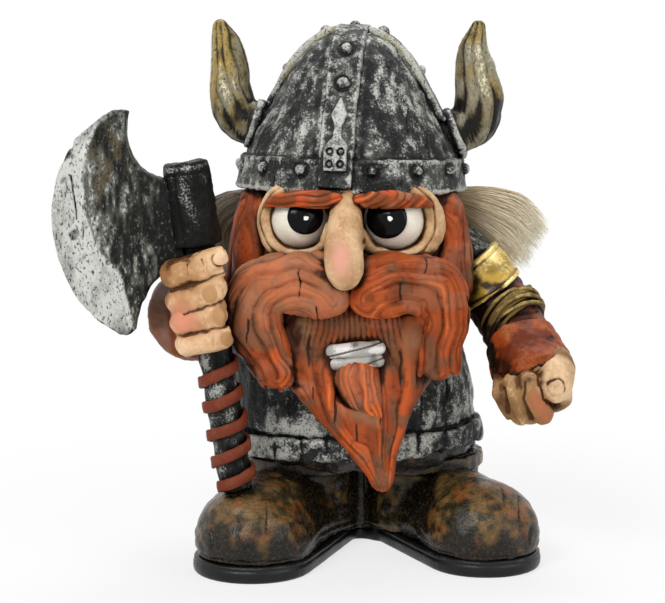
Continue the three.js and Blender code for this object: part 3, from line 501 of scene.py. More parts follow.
def ramp(tree, value, low, high, to_low=0.0, to_high=1.0):
    ends = {"Value": value, "From Min": low, "From Max": high, "To Min": to_low, "To Max": to_high}
    return add_node(tree, "MapRange", ends, interpolation_type="SMOOTHSTEP").outputs["Result"]


def layer(tree, name):
    return add_node(tree, "Attribute", {}, attribute_name=name).outputs


def new_material(name):
    material = bpy.data.materials.new(name)
    material.use_nodes = True
    return material, material.node_tree, material.node_tree.nodes["Principled BSDF"].inputs


def painted(name, dark, bright, gloss, roughness, bump, wash_size=1.2, rub_size=0.5, rub_soft=0.1, rub_spread=1.2,
            metallic=0.0, stretch=(1, 1, 1), pits=0.0):
    """A paint whose wash is dark and whose rub is bright; the wash also carries painted shade and the rub some
    painted highlights. The wash and the rub have noise of their own sizes, which stretch draws out. The rub's edge
    is more or less soft, its spread breaks it up, and pits are dark specks."""
    material, tree, shader = new_material(name)
    dark, bright = ((*linear(code), 1) for code in (dark, bright))
    place = add_node(tree, "TexCoord", {}).outputs["Object"]
    place = add_node(tree, "Mapping", {"Vector": place, "Scale": [1 / s for s in stretch]}).outputs["Vector"]

    def speckle(size, detail):
        inputs = {"Scale": 1 / (size * MM), "Detail": detail, "Roughness": 0.62, "Vector": place}
        return add_node(tree, "TexNoise", inputs).outputs["Fac"]

    def blend(factor, a, b):
        return add_node(tree, "Mix", {"Factor": factor, 6: a, 7: b}, data_type="RGBA").outputs[2]

    wash_noise = speckle(wash_size, 4)
    rub_noise = speckle(rub_size, 5)
    wash_offset = math_node(tree, "MULTIPLY_ADD", wash_noise, 0.7, -0.35)
    wash_and_painted_shade = math_node(tree, "ADD", layer(tree, "wash_and_painted_shade")["Fac"], wash_offset)
    rub_offset = math_node(tree, "MULTIPLY_ADD", rub_noise, rub_spread, -0.5 * rub_spread)
    rub_and_painted_highlight = math_node(tree, "ADD", layer(tree, "rub_and_painted_highlight")["Fac"], rub_offset)
    washed = blend(ramp(tree, wash_and_painted_shade, 0.25, 0.8), layer(tree, "tint")["Color"], dark)
    rub_share = ramp(tree, rub_and_painted_highlight, 0.5 - rub_soft, 0.5 + rub_soft)
    colour = blend(rub_share, washed, bright)
    relief = math_node(tree, "ADD", rub_noise, math_node(tree, "MULTIPLY", wash_noise, 1.5))
    if pits:
        pit = ramp(tree, speckle(0.55, 3), 0.56, 0.64, 0.0, pits)
        colour = blend(pit, colour, dark)
        relief = math_node(tree, "SUBTRACT", relief, math_node(tree, "MULTIPLY", pit, 0.6))
    shader["Specular IOR Level"].default_value = gloss
    surface = {"Strength": 1.0, "Distance": bump * MM, "Height": relief}
    outputs = {
        "Base Color": colour,
        "Roughness": ramp(tree, rub_noise, 0.3, 0.7, *roughness),
        "Normal": add_node(tree, "Bump", surface).outputs["Normal"],
    }
    if metallic:
        outputs["Metallic"] = math_node(tree, "MULTIPLY", rub_share, metallic)
    for socket, value in outputs.items():
        tree.links.new(value, shader[socket])
    return material


def fur_paint():
    """A material for strands, which carry their own colours."""
    material, tree, shader = new_material("fur_strands")
    tree.links.new(layer(tree, "tint")["Color"], shader["Base Color"])
    shader["Roughness"].default_value = 0.55
    shader["Sheen Weight"].default_value = 0.25
    return material


PAINTS = {  # by slot
    "armour": painted("armour_paint", "0d0e0f", "bdbdb6", 0.16, (0.36, 0.55), 0.16, 1.5, 0.6, 0.34, 2.3,
                      metallic=0.25, pits=0.8),
    "iron": painted("iron_paint", "0c0d0b", "cfcfca", 0.16, (0.34, 0.5), 0.14, 1.3, 0.6, 0.4, 2.0,
                    metallic=0.25, stretch=(1, 1, 1.8), pits=0.85),
    "haft": painted("haft_paint", "060705", "a9aaa5", 0.12, (0.32, 0.5), 0.14, rub_soft=0.22, rub_spread=1.8,
                    metallic=0.25, pits=0.5),
    "hair": painted("hair_paint", "371a0b", "dc7038", 0.16, (0.42, 0.6), 0.08, 1.8, 1.1, 0.28, 0.7),
    "skin": painted("skin_paint", "4e2c10", "ecc9a0", 0.2, (0.44, 0.6), 0.07, 1.6, 1.0, 0.3, 0.8),
    "sleeve": painted("sleeve_paint", "170a04", "a0633c", 0.16, (0.35, 0.55), 0.1, 1.8, 0.9, 0.3),
    "boot": painted("boot_paint", "080904", "8e6a42", 0.3, (0.2, 0.36), 0.1, 1.6, 0.8, 0.6, 1.6, pits=0.5),
    "sole": painted("sole_paint", "0a0b0a", "3c3f3c", 0.25, (0.26, 0.42), 0.05),
    "gold": painted("gold_paint", "2c1c08", "f0d68c", 0.25, (0.24, 0.4), 0.06, 2.2, 1.2, 0.25, metallic=0.35),
    "horn": painted("horn_paint", "14110b", "e6dcb8", 0.2, (0.28, 0.45), 0.12, 1.6, 0.7, 0.25, 1.5,
                    metallic=0.25, stretch=(1, 1, 1.8), pits=0.7),
    "eye": painted("eye_paint", "5b432a", "fbf4e4", 0.35, (0.2, 0.3), 0.03),
    "pupil": painted("pupil_paint", "030304", "ffffff", 0.12, (0.06, 0.12), 0.02, rub_soft=0.04, rub_spread=0.3),
    "teeth": painted("teeth_paint", "2e2116", "e2e0da", 0.3, (0.3, 0.42), 0.04, rub_spread=0.5),
    "cord": painted("cord_paint", "1c0f06", "b39a5c", 0.16, (0.4, 0.6), 0.1, 1.0, 0.8, 0.3, 1.4),
    "leather": painted("strip_paint", "24120b", "82462f", 0.16, (0.45, 0.62), 0.08, 1.4, 0.8, 0.3),
    "fur": fur_paint(),
}
PAINTS["trousers"] = PAINTS["boot"]


# Helmet, worked out round its own axis


band_low, band_high = node_box("helmet_band")
HELMET = np.array([(band_low[0] + band_high[0]) / 2 - 0.05, (band_low[1] + band_high[1]) / 2, band_low[2] + 0.6])
HELMET_YAW = math.radians(-8)
HELMET_LEAN = math.radians(1.1)
DEPTH_RATIO = 1.04
DOME = [  # distance from the axis and height, from the foot to the top
    [30.6, -6], [30.6, 4], [30.3, 8.5], [29.3, 11], [27.6, 15], [23.6, 21.8], [20.2, 28.2], [16.8, 34.2],
    [12.2, 39.6], [6.6, 43], [0, 44.3],
]
BAND = {"bottom_radius": 32.6, "top_radius": 31.2, "height": 9.0, "rivet_height": 6.0}


def in_helmet(points):
    """A point's place across, behind and above the middle of the helmet's rim, with the front strap at -y."""
    x, y, z = (points - HELMET.astype(np.float32)).T
    x, z = turned(x, z, HELMET_LEAN)
    return (*turned(x, y, -HELMET_YAW), z)


def helmet_radius(x, y):
    return np.hypot(x, y / DEPTH_RATIO)


def dome_distance(x, y, z):
    """Distance to the dome's profile, smooth all round."""
    return -beside_path(helmet_radius(x, y), z, spline(DOME, 5))[1]


def cover_distance(x, y, z):
    """Distance to what the straps lie on: the dome, and the band round its foot."""
    band = np.maximum(helmet_radius(x, y) - 32.4 + 0.13 * z, z - 9.4)
    return melt(dome_distance(x, y, z), band, 1.2)


def from_studs(points, studs):
    """Distance to the middle of the nearest stud, with the studs' places in the helmet's own frame."""
    local = np.stack(in_helmet(points), axis=1)
    return np.min([np.linalg.norm(local - np.array(stud, np.float32), axis=1) for stud in studs], axis=0)


def hammered(points, seed):
    """Dents and upright tool marks of the cast metal."""
    marks = 0.2 * noise(points, 1.8, seed + 1, (1, 1, 3)) + 0.1 * noise(points, 0.9, seed + 2, (1, 1, 2))
    return 0.22 * noise(points, 5.5, seed) + marks


def armour_paint(skin, seed, coverage, streak=(1, 1, 2.4)):
    """Tint, wash and rub of silver brushed over black, with painted shade where neighbours crowd."""
    points = skin.still
    shade = skin.shade()
    patches = fractal(points, 6, seed, 3, streak)
    fine = noise(points, 1.5, seed + 4, streak) + 0.6 * noise(points, 0.85, seed + 5)
    tint = between("232524", "565853", step_up(patches + 0.5 * fine, -0.6, 0.8))
    wash_and_painted_shade = 0.15 + 1.5 * shade + 0.35 * skin.hollow - 1.1 * skin.relief - 0.25 * patches
    rub_and_painted_highlight = coverage + 0.3 * patches + 0.22 * fine + 0.9 * skin.relief - 0.3 * skin.hollow - 0.9 * shade
    return tint, wash_and_painted_shade, rub_and_painted_highlight


def build_dome():
    def form(points):
        x, y, z = in_helmet(points)
        return limit(dome_distance(x, y, z), 5.0 - z, 0.5)

    skin = sculpt("helmet_dome", form, MEDIUM)
    x, y, z = in_helmet(skin.points)
    height = hammered(skin.points, 20) + 0.35 * groove(np.abs(x) - 5.2, 0.9) * (z > 9)
    height -= 0.4 * groove(z - 9.4, 0.8)
    height -= 0.5 * cracks(skin.points, -30, ((14.5, 121, 9), (9.5, 134, 6), (-17, 118, 5), (20, 116, 5)), 0.5)
    skin.raised(height)
    tint, wash_and_painted_shade, rub_and_painted_highlight = armour_paint(skin, 20, 0.28)
    stripe = groove(np.abs(x) - 6.4, 1.8) * (y < 0) * (z > 9)  # dark beside the front strap
    finish_piece("helmet_dome", skin, "armour", tint, wash_and_painted_shade + 0.6 * stripe, rub_and_painted_highlight - 0.6 * stripe)


def rivet_places():
    """The rivets' middles on the band, seven on each side, none behind a strap."""
    first, count = 17.5, 7  # degrees from the front strap
    step = (180 - 2 * first) / (count - 1)
    reach = BAND["bottom_radius"] - 0.9
    angles = [math.radians(side * (first + k * step)) for side in (-1, 1) for k in range(count)]
    return [(reach * math.sin(a), -reach * DEPTH_RATIO * math.cos(a), BAND["rivet_height"]) for a in angles]


def build_band():
    bottom, top, tall = (BAND[key] for key in ("bottom_radius", "top_radius", "height"))

    def form(points):
        x, y, z = in_helmet(points)
        radius = helmet_radius(x, y)
        ring = np.maximum(radius - (bottom - (bottom - top) * z / tall), 29.0 - radius)
        ring = limit(ring, -(z + 0.35 * noise(points, 7, 31)), 0.8)
        ring = limit(ring, z - tall, 0.7)
        return np.minimum(ring, from_studs(points, rivet_places()) - 1.65)

    skin = sculpt("helmet_band", form, MEDIUM)
    x, y, z = in_helmet(skin.points)
    rivet = from_studs(skin.points, rivet_places())
    height = 0.8 * hammered(skin.points, 30) - 0.4 * groove(rivet - 2.1, 0.6)
    height += 0.25 * groove(z - 0.6, 0.9) + 0.2 * groove(z - 8.2, 0.7)
    height -= 0.4 * cracks(skin.points, -30, [(x, 105.5, 5) for x in (-22.0, 12.5, 25.0)], 0.5)
    skin.raised(height)
    tint, wash_and_painted_shade, rub_and_painted_highlight = armour_paint(skin, 30, 0.12, (1.6, 1.6, 1))
    wash_and_painted_shade += 1.3 * groove(rivet - 2.1, 0.55)
    rub_and_painted_highlight += 0.4 * (rivet < 1.7) + 0.5 * groove(z - 0.3, 0.9)
    finish_piece("helmet_band", skin, "armour", tint, wash_and_painted_shade, rub_and_painted_highlight)


CREST_STUDS = [(0, s * r * DEPTH_RATIO, h) for s in (-1, 1) for r, h in ((15.8, 38.7), (21.7, 29.4))]
CREST_STUDS += [(0, 0, 45.4)]
CREST_HALF = 4.3


def build_crest():
    """The strap from front to back."""

    def form(points):
        x, y, z = in_helmet(points)
        over = cover_distance(x, y, z)
        sheet = np.maximum(over - 1.7, -0.4 - over)
        sheet = limit(sheet, np.abs(x) - CREST_HALF - 0.25 * noise(points, 5, 41), 0.5)
        sheet = limit(sheet, 1.3 - z, 0.6)
        return np.minimum(sheet, from_studs(points, CREST_STUDS) - 1.5)

    skin = sculpt("helmet_crest_strap", form, FINE * 1.1)
    x, y, z = in_helmet(skin.points)
    stud = from_studs(skin.points, CREST_STUDS)
    height = 0.55 * hammered(skin.points, 40) + 0.3 * groove(np.abs(x) - CREST_HALF + 0.3, 0.8)
    skin.raised(height - 0.5 * groove(stud - 2.2, 0.85) - 0.3 * groove(z - 9.2, 0.6))
    tint, wash_and_painted_shade, rub_and_painted_highlight = armour_paint(skin, 40, 0.03, (1, 1, 1))
    wash_and_painted_shade += 1.2 * groove(stud - 2.2, 0.8)
    rub_and_painted_highlight += 0.45 * (stud < 1.6) + 0.3 * groove(np.abs(x) - CREST_HALF, 0.7)
    finish_piece("helmet_crest_strap", skin, "armour", tint, wash_and_painted_shade, rub_and_painted_highlight)


def build_side_strap(side):
    hand = 1 if side == "left" else -1
    studs = [(hand * 8.1, 0, 43.6), (hand * 18.8, 0, 33.2)]

    def form(points):
        x, y, z = in_helmet(points)
        over = dome_distance(x, y, z)
        sheet = np.maximum(over - 1.6, -0.4 - over)
        sheet = limit(sheet, np.abs(y) - 3.7 - 0.2 * noise(points, 4, 51), 0.5)
        sheet = limit(sheet, 19.5 - z, 0.5)
        sheet = limit(sheet, 4.4 - hand * x, 0.4)
        return np.minimum(sheet, from_studs(points, studs) - 1.75)

    name = "helmet_strap_" + side
    skin = sculpt(name, form, FINE * 1.1)
    x, y, z = in_helmet(skin.points)
    stud = from_studs(skin.points, studs)
    height = 0.5 * hammered(skin.points, 50) + 0.25 * groove(np.abs(y) - 3.4, 0.8)
    skin.raised(height - 0.4 * groove(stud - 2.4, 0.8))
    tint, wash_and_painted_shade, rub_and_painted_highlight = armour_paint(skin, 50, 0.2, (1, 1, 1))
    olive = step_up(z, 27, 33) * step_up(-y, 2.6, 3.6)
    wash_and_painted_shade = (wash_and_painted_shade + 1.1 * groove(stud - 2.5, 0.8)) * (1 - 0.7 * olive)
    rub_and_painted_highlight += 0.4 * (stud < 1.9) + 0.3 * olive
    finish_piece(name, skin, "armour", mixed(tint, "a9a37c", olive), wash_and_painted_shade, rub_and_painted_highlight)


SPEAR_SIDE = [(2.9, 6.2), (2.9, 12.6), (0.95, 15), (0.8, 17.6), (2.0, 20.8)]  # the ornament's edge at its left
SPEAR_TIP = (0, 25.2)


def build_ornament():
    """A spear head on a square foot with four round studs."""
    outline = SPEAR_SIDE + [SPEAR_TIP] + [(-x, h) for x, h in reversed(SPEAR_SIDE)]
    holes = [(x, h) for x in (-1.45, 1.45) for h in (7.9, 11.2)]

    def form(points):
        x, y, z = in_helmet(points)
        over = cover_distance(x, y, z)
        sheet = np.maximum(over - 2.85, 1.2 - over)
        sheet = limit(sheet, plan_distance(x, z, outline) - 0.15, 0.35)
        sheet = np.maximum(sheet, y)
        for hole_x, hole_z in holes:
            away = np.hypot(x - hole_x, z - hole_z)
            sheet = np.maximum(sheet, np.minimum(0.95 - away, over - 2.1))
            sheet = np.minimum(sheet, np.maximum(away - 0.5, np.maximum(over - 2.75, 1.2 - over)))
        return sheet

    skin = sculpt("strap_ornament", form, 0.22 * QUICK)
    points = skin.points
    x, y, z = in_helmet(points)
    skin.raised(0.1 * noise(points, 1.4, 60))
    well = np.min([np.abs(np.hypot(x - hole_x, z - hole_z) - 0.8) for hole_x, hole_z in holes], axis=0)
    wash_and_painted_shade = 0.9 * groove(well, 0.35) + 0.2 + 0.2 * noise(skin.points, 2, 61)
    rub_and_painted_highlight = 0.62 + 0.25 * noise(skin.points, 1.5, 62) - 1.2 * groove(well, 0.45)
    finish_piece("strap_ornament", skin, "armour", linear("6a6c69"), wash_and_painted_shade, rub_and_painted_highlight)


# Horns and their collars


# The left horn's larger darkening value is painted shade, as that horn lies away from the key lamp.
HORNS = {  # stations are x, y, z and radius, and the value after the ridges is how much darker than its ridges a horn is
    "right": {
        "stations": [[-27.9, -6, 119.9, 6.1], [-32.8, -6, 123, 6.3], [-34.6, -6, 129.4, 5.9],
                     [-34.9, -6, 135.8, 5.2], [-35.9, -6, 142.2, 4], [-37.4, -6, 147.2, 2.1]],
        "collar": [[-20, -6, 117.4], [-28.7, -6, 120.4]],
        "ridges": 9,
        "darkness": 0.09,
        "inward": 1,
    },
    "left": {
        "stations": [[29.6, -6, 118.1, 6.3], [34, -6, 121, 6.7], [35.3, -6, 127.4, 6.8],
                     [34.5, -6, 134, 5.8], [33.6, -6, 140.4, 4.2], [34.9, -6, 147, 2]],
        "collar": [[20, -6, 114.7], [29.2, -6, 117.9]],
        "ridges": 8,
        "darkness": 0.16,
        "inward": -1,
    },
}


def build_horn(side):
    horn = HORNS[side]
    name = "horn_" + side
    skin = sculpt(name, lambda points: limb(points, horn["stations"], steps=4), FINE, 0.9)
    points = skin.points
    path = spline(horn["stations"], 6)
    spoke = points - path[nearest_on(points, path)][:, :3]
    twist = 0.5 * noise(points, 8, 70) + 0.02 * (points[:, 2] - 120)
    turn = np.arctan2(spoke[:, 1], spoke[:, 0]) / (2 * math.pi)
    across = (turn + 0.04 * twist) * horn["ridges"] + 0.3 * noise(points, 5, 71, (1, 1, 2))
    ridge = strands(across, 72, 1.6)
    height = 0.55 * ridge + 0.14 * noise(points, 1.6, 73, (1, 1, 3)) + 0.25
    skin.raised(height - 0.4 * cracks(points, -10, ((-36.2, 134, 7), (33.2, 131, 8)), 0.4))
    shade = skin.shade()
    inner = step_up(spoke[:, 0] * horn["inward"], -1.0, 4.5)
    foot = step_up(128 - points[:, 2], -4, 8)
    tone = fractal(points, 5, 74, 3, (1, 1, 2))
    tint = between("a58d4e", "8d866f", step_up(tone, -0.4, 0.4))
    # the horn's darkening value, larger on the left horn, is painted shade
    wash_and_painted_shade = 0.12 + horn["darkness"] - 0.55 * (ridge + 0.35) + 1.3 * shade + 0.4 * foot + 0.25 * inner - 0.45 * tone
    rub_and_painted_highlight = 0.34 - horn["darkness"] + 0.6 * (ridge + 0.3) + 0.3 * tone - 0.5 * shade - 0.35 * foot - 0.25 * inner
    finish_piece(name, skin, "horn", tint, wash_and_painted_shade, rub_and_painted_highlight)


def build_collar(side):
    name = "horn_collar_" + side
    root, mouth = (np.array(place, np.float32) for place in HORNS[side]["collar"])
    length = float(np.linalg.norm(mouth - root))
    axis = (mouth - root) / length

    def form(points):
        offset = points - root
        along = offset @ axis
        off = np.linalg.norm(offset - along[:, None] * axis, axis=1)
        cup = off - (6.2 + 0.06 * along + 0.5 * step_up(along, length - 2.6, length - 1.6))
        cup = limit(cup, along - length - 0.2, 0.7)
        cup = np.maximum(cup, -along - 2)
        return np.maximum(cup, np.minimum(length - 3.5 - along, 5.2 - off))

    skin = sculpt(name, form, MEDIUM)
    below_mouth = (skin.points - root) @ axis - length
    skin.raised(1.3 * hammered(skin.points, 80) - 0.5 * groove(below_mouth + 3.0, 0.8))
    tint, wash_and_painted_shade, rub_and_painted_highlight = armour_paint(skin, 80, 0.26, (1, 1, 1))
    wash_and_painted_shade += 0.8 * groove(below_mouth + 3.0, 0.9)
    rub_and_painted_highlight += 0.3 * groove(below_mouth + 0.6, 1.0)
    finish_piece(name, skin, "armour", tint, wash_and_painted_shade, rub_and_painted_highlight)


# Face


EYES = {  # the pupil and its glint are placed by x and z
    "right": {"at": (-14.8, -31.8, 94.8), "radius": 7.8, "pupil": (-13.2, 96.2), "pupil_radius": 4.8,
              "glint": (-13.0, 95.9)},
    "left": {"at": (10.5, -31.8, 94.8), "radius": 8.2, "pupil": (8.4, 95.7), "pupil_radius": 5.4,
             "glint": (9.2, 95.9)},
}


def skin_paint(skin, seed, darkening, deep="b88e62", light="caa477"):
    """Tint, wash and rub of bare skin, with painted shade where neighbours crowd. Its third value makes the
    whole wash darker.
    """
    shade = skin.shade()
    tone = fractal(skin.still, 6, seed, 3)
    tint = between(deep, light, step_up(tone, -0.5, 0.6))
    wash_and_painted_shade = darkening + 0.05 + 1.15 * shade + 0.5 * skin.hollow - 0.8 * skin.relief - 0.2 * tone
    rub_and_painted_highlight = 0.3 + 0.2 * tone - 0.5 * shade - 0.35 * skin.hollow + 0.5 * skin.relief
    return tint, wash_and_painted_shade, rub_and_painted_highlight


def build_eyeball(side):
    eye = EYES[side]
    name = "eyeball_" + side
    skin = sculpt(name, lambda points: ball(points, eye["at"], [eye["radius"]] * 3), FINE)
    points = skin.points
    skin.raised(0.06 * noise(points, 3, 90))
    off = np.hypot(points[:, 0] - eye["at"][0], points[:, 2] - eye["at"][2])
    rim = step_up(off, eye["radius"] - 1.1, eye["radius"] - 0.2)
    tint = between("eee4ce", "f9f3e6", step_up(noise(points, 4, 91), -0.6, 0.6))
    wash_and_painted_shade = 0.6 * rim * (0.7 + 0.5 * noise(points, 2, 92)) + 0.25 * np.clip(skin.shade() - 0.3, 0, 1)
    rub_and_painted_highlight = 0.6 + 0.2 * noise(points, 3, 93) - 0.5 * rim
    finish_piece(name, skin, "eye", tint, wash_and_painted_shade, rub_and_painted_highlight)


def build_pupil(side):
    """A thin cap of a ball a little larger than the eye, cut round, with a glint painted on it."""
    eye = EYES[side]
    name = "pupil_" + side

    def form(points):
        over = np.linalg.norm(points - np.array(eye["at"], np.float32), axis=1) - eye["radius"]
        off = np.hypot(points[:, 0] - eye["pupil"][0], points[:, 2] - eye["pupil"][1]) - eye["pupil_radius"]
        return limit(np.maximum(over - 0.75, -1.6 - over), off, 0.5)

    skin = sculpt(name, form, FINE, room=1)
    points = skin.points
    skin.raised(0.05 * noise(points, 2.4, 94))
    x, z = points[:, 0] - eye["glint"][0], points[:, 2] - eye["glint"][1]
    scratch = groove(x + 2.6 + 0.3 * z, 0.28) * (np.abs(z) < 0.8)
    glint = np.maximum(1.3 * (np.hypot(x, z) < 0.62), 0.55 * scratch) * (skin.normals[:, 1] < 0)
    finish_piece(name, skin, "pupil", linear("08080a"), 0.0, glint)


def build_head():
    skin = sculpt("head", node_form("head", 1.6, 0.25), COARSE)
    skin.raised(0.2 * noise(skin.points, 4, 100) + 0.12 * noise(skin.points, 1.6, 101))
    finish_piece("head", skin, "skin", *skin_paint(skin, 100, 0.25))


LIDS = {
    "right": [[-20.6, -34.4, 102.4, 1.9], [-23, -32.6, 99.6, 2.1], [-23.8, -32, 94, 2.5], [-21.8, -33.2, 88, 2.3],
              [-15.6, -36.2, 86.2, 1.1], [-9.6, -38, 87.8, 1.2], [-7, -38.4, 91.4, 1.8]],
    "left": [[16.6, -34.4, 102.2, 2.2], [19.8, -32.4, 99.4, 2.8], [21.2, -31.4, 93, 3.4], [18.4, -32.8, 87, 2.7],
             [11.4, -36.2, 85.9, 1.2], [4.8, -38, 87.6, 1.5], [1.8, -38.6, 91.2, 2]],
}


def build_lid(side):
    name = "eyelid_" + side
    eye = EYES[side]
    skin = sculpt(name, lambda points: limb(points, LIDS[side]), FINE, room=4)
    points = skin.points
    past_eye = np.hypot(points[:, 0] - eye["at"][0], points[:, 2] - eye["at"][2]) - eye["radius"]
    outer = step_up(np.abs(points[:, 0] + 2.2), 16, 19)
    fold = groove(past_eye - 2.9 - 0.3 * noise(points, 4, 111), 0.55) * outer
    skin.raised(0.12 * noise(points, 2, 110) - 0.4 * fold)
    tint, wash_and_painted_shade, rub_and_painted_highlight = skin_paint(skin, 110, 0.05)
    wash_and_painted_shade += 0.6 * fold + 0.7 * groove(past_eye + 0.3, 0.6)
    finish_piece(name, skin, "skin", tint, wash_and_painted_shade, rub_and_painted_highlight - 0.3 * fold)


BROWS = {
    "right": {
        "stations": [[-24.2, -35.4, 98.9, 0.5], [-20.6, -38, 100.4, 1.7], [-13.8, -40.4, 101.1, 2.3],
                     [-8.4, -41.2, 101, 2.3], [-4.8, -41.6, 101, 1.5]],
        "slant": 0.12, "spacing": 1.5, "wash_and_painted_shade": 0.05,
    },
    "left": {
        "stations": [[20.2, -35.8, 99.2, 0.6], [16.4, -38.4, 100.4, 1.7], [9.8, -40.4, 100.9, 2.3],
                     [4.2, -41.4, 100.8, 2.2], [0.8, -41.6, 100.8, 1.4]],
        "slant": 0.75, "spacing": 2.3, "wash_and_painted_shade": 0.25,
    },
}


def build_brow(side):
    name = "eyebrow_" + side
    brow = BROWS[side]
    skin = sculpt(name, lambda points: limb(points, brow["stations"]), FINEST, 0.9)
    points = skin.points
    across = (points[:, 2] - brow["slant"] * points[:, 0]) / brow["spacing"]
    across += 0.4 * noise(points, 3.5, 120, (2, 1, 1))
    ridge = strands(across, 121, 1.3) * (0.6 + 0.5 * noise(points, 5, 124))
    skin.raised(0.55 * ridge + 0.15 * noise(points, 2, 126, (2, 1, 1)) + 0.2)
    shade = skin.shade()
    tone = step_up(noise(points, 3, 122) + 0.5 * strand_tone(across, 123), -0.5, 0.5)
    rosy = step_up(noise(points, 3, 125) + 0.6 * strand_tone(across, 127), 0.1, 0.7)
    lines = np.exp(-(((across - np.round(across)) / 0.13) ** 2)) * (0.7 + 0.5 * noise(points, 3, 128))
    tint = between("86431f", "c05024", tone)
    tint = mixed(tint, "b07050", 0.6 * rosy)
    tint = mixed(tint, "40200f", 0.85 * lines)
    wash_and_painted_shade = brow["wash_and_painted_shade"] - 0.4 * (ridge + 0.3) + 0.9 * shade
    rub_and_painted_highlight = 0.14 + 0.3 * (ridge + 0.3) + 0.4 * crest_lines(across, 124) - 0.5 * shade - lines
    finish_piece(name, skin, "hair", tint, wash_and_painted_shade, rub_and_painted_highlight)


NOSE = [[-2.3, -37.5, 101.4, 3.3], [-2.6, -42, 95, 4.6], [-3, -45.2, 89, 5.1], [-2.9, -47, 83.8, 5.1],
        [-2.8, -47.4, 81.8, 4.4]]


def build_nose():
    def form(points):
        right_wing = ball(points, (-7.4, -39.2, 90.4), (3, 3.4, 4))
        left_wing = ball(points, (2.2, -39.2, 89.6), (3.6, 3.4, 3.6))
        return melt(limb(points, NOSE, steps=4), np.minimum(right_wing, left_wing), 2.2)

    skin = sculpt("nose", form, FINE, 1.8, 1)
    points = skin.points
    x, z = points[:, 0], points[:, 2]
    front = skin.normals[:, 1] < 0
    skin.raised(0.12 * noise(points, 4, 130) + 0.06 * noise(points, 1.3, 131))
    tint, wash_and_painted_shade, rub_and_painted_highlight = skin_paint(skin, 130, -0.08)
    blush = spot(x + 4, z - 86.2, 2.7, 4.6) * front
    rub_and_painted_highlight = rub_and_painted_highlight * (1 - 0.9 * np.clip(1.3 * blush, 0, 1))
    wash_and_painted_shade += 0.5 * step_up(z, 97.5, 101.5) * groove(np.abs(x + 2.5) - 2.2, 1.2)
    for x0, z0, lean in ((-6.2, 101.2, 0.9), (1.8, 100.6, -1.1)):  # wrinkles from the brows' inner ends
        wrinkle = groove(x - x0 - lean * (z - z0), 0.3) * (np.abs(z - z0) < 2.2) * front
        wash_and_painted_shade += 0.8 * wrinkle
        rub_and_painted_highlight -= wrinkle
    notch = spot(x - 3.0, z - 90, 1.2, 1.1)
    tint = mixed(tint, "e0a08b", np.clip(1.05 * blush, 0, 1))
    finish_piece("nose", skin, "skin", tint, wash_and_painted_shade + 1.2 * notch, rub_and_painted_highlight - notch)


# Hair of the face


MOUSTACHE = {  # a cheek is the fullness beside the nose, and the foot is where the hanging end is cut off
    "right": {
        "stations": [[-6.4, -42.2, 75, 4.7], [-10.4, -42.8, 76.7, 6.9], [-17, -41.8, 78.8, 8], [-24.8, -38, 76.6, 8.2],
                     [-27, -35.6, 67.5, 7.7], [-23.6, -36.4, 59.5, 6.4], [-21, -37.8, 53.4, 5]],
        "cracks": [(-14.6, 79.4, 8), (-10.1, 71.6, 4), (-28.6, 66, 7)],
        "foot": 50.2,
        "cheek": (-9.6, -40.6, 82.4),
    },
    "left": {
        "stations": [[3.6, -42.4, 75, 4.8], [7.6, -42.8, 76.8, 6.8], [13.6, -41.8, 78.8, 7.9], [21.2, -37.4, 77, 8.2],
                     [23.6, -35, 68.6, 7.2], [22.7, -35.6, 61.6, 6.2], [22.5, -36.4, 55, 6]],
        "cracks": [(11.8, 77.2, 5), (30.4, 71, 8), (18.6, 84, 4)],
        "foot": 53.4,
        "cheek": (6.2, -40.6, 82.2),
    },
}


def hair_paint(skin, ridge, place, seed, bright):
    """Brown in the grooves, orange on the ridges, each strand in its own tone, with thin lines between them,
    and painted shade where neighbours crowd.
    """
    points = skin.still
    shade = skin.shade()
    tone = 0.6 * strand_tone(place, seed) + 0.8 * fractal(points, 7, seed, 3)
    tint = between("823c1c", "bc5626", step_up(tone + 0.3 * ridge + bright, -0.8, 0.35))
    tint = mixed(tint, "ae7052", 0.6 * step_up(noise(points, 6, seed + 5), 0.1, 0.7))
    dusty = step_up(noise(points, 3.6, seed + 6, (1, 1, 1.5)) - 0.5 * tone - 0.5 * ridge, 0.45, 0.9)
    tint = mixed(tint, "705038", 0.75 * dusty)
    lines = np.clip(border_lines(place, seed) * (0.8 + 0.5 * noise(points, 5, seed + 7)), 0, 1)
    pits = step_up(noise(points, 1.1, seed + 8), 0.66, 0.85)
    tint = mixed(tint, "4e2410", 0.75 * np.maximum(lines, 0.55 * pits))
    wash_and_painted_shade = 0.04 - 0.65 * (ridge + 0.35) + 0.95 * shade + 0.2 * skin.hollow - 0.12 * tone - bright
    crests = crest_lines(place, seed) * (0.7 + 0.6 * tone)
    rub_and_painted_highlight = 0.08 + 0.3 * (ridge + 0.25) + 0.25 * tone + 0.5 * crests - 0.7 * shade + bright
    return tint, wash_and_painted_shade, rub_and_painted_highlight - 0.2 * skin.hollow - 0.6 * lines - 0.3 * dusty


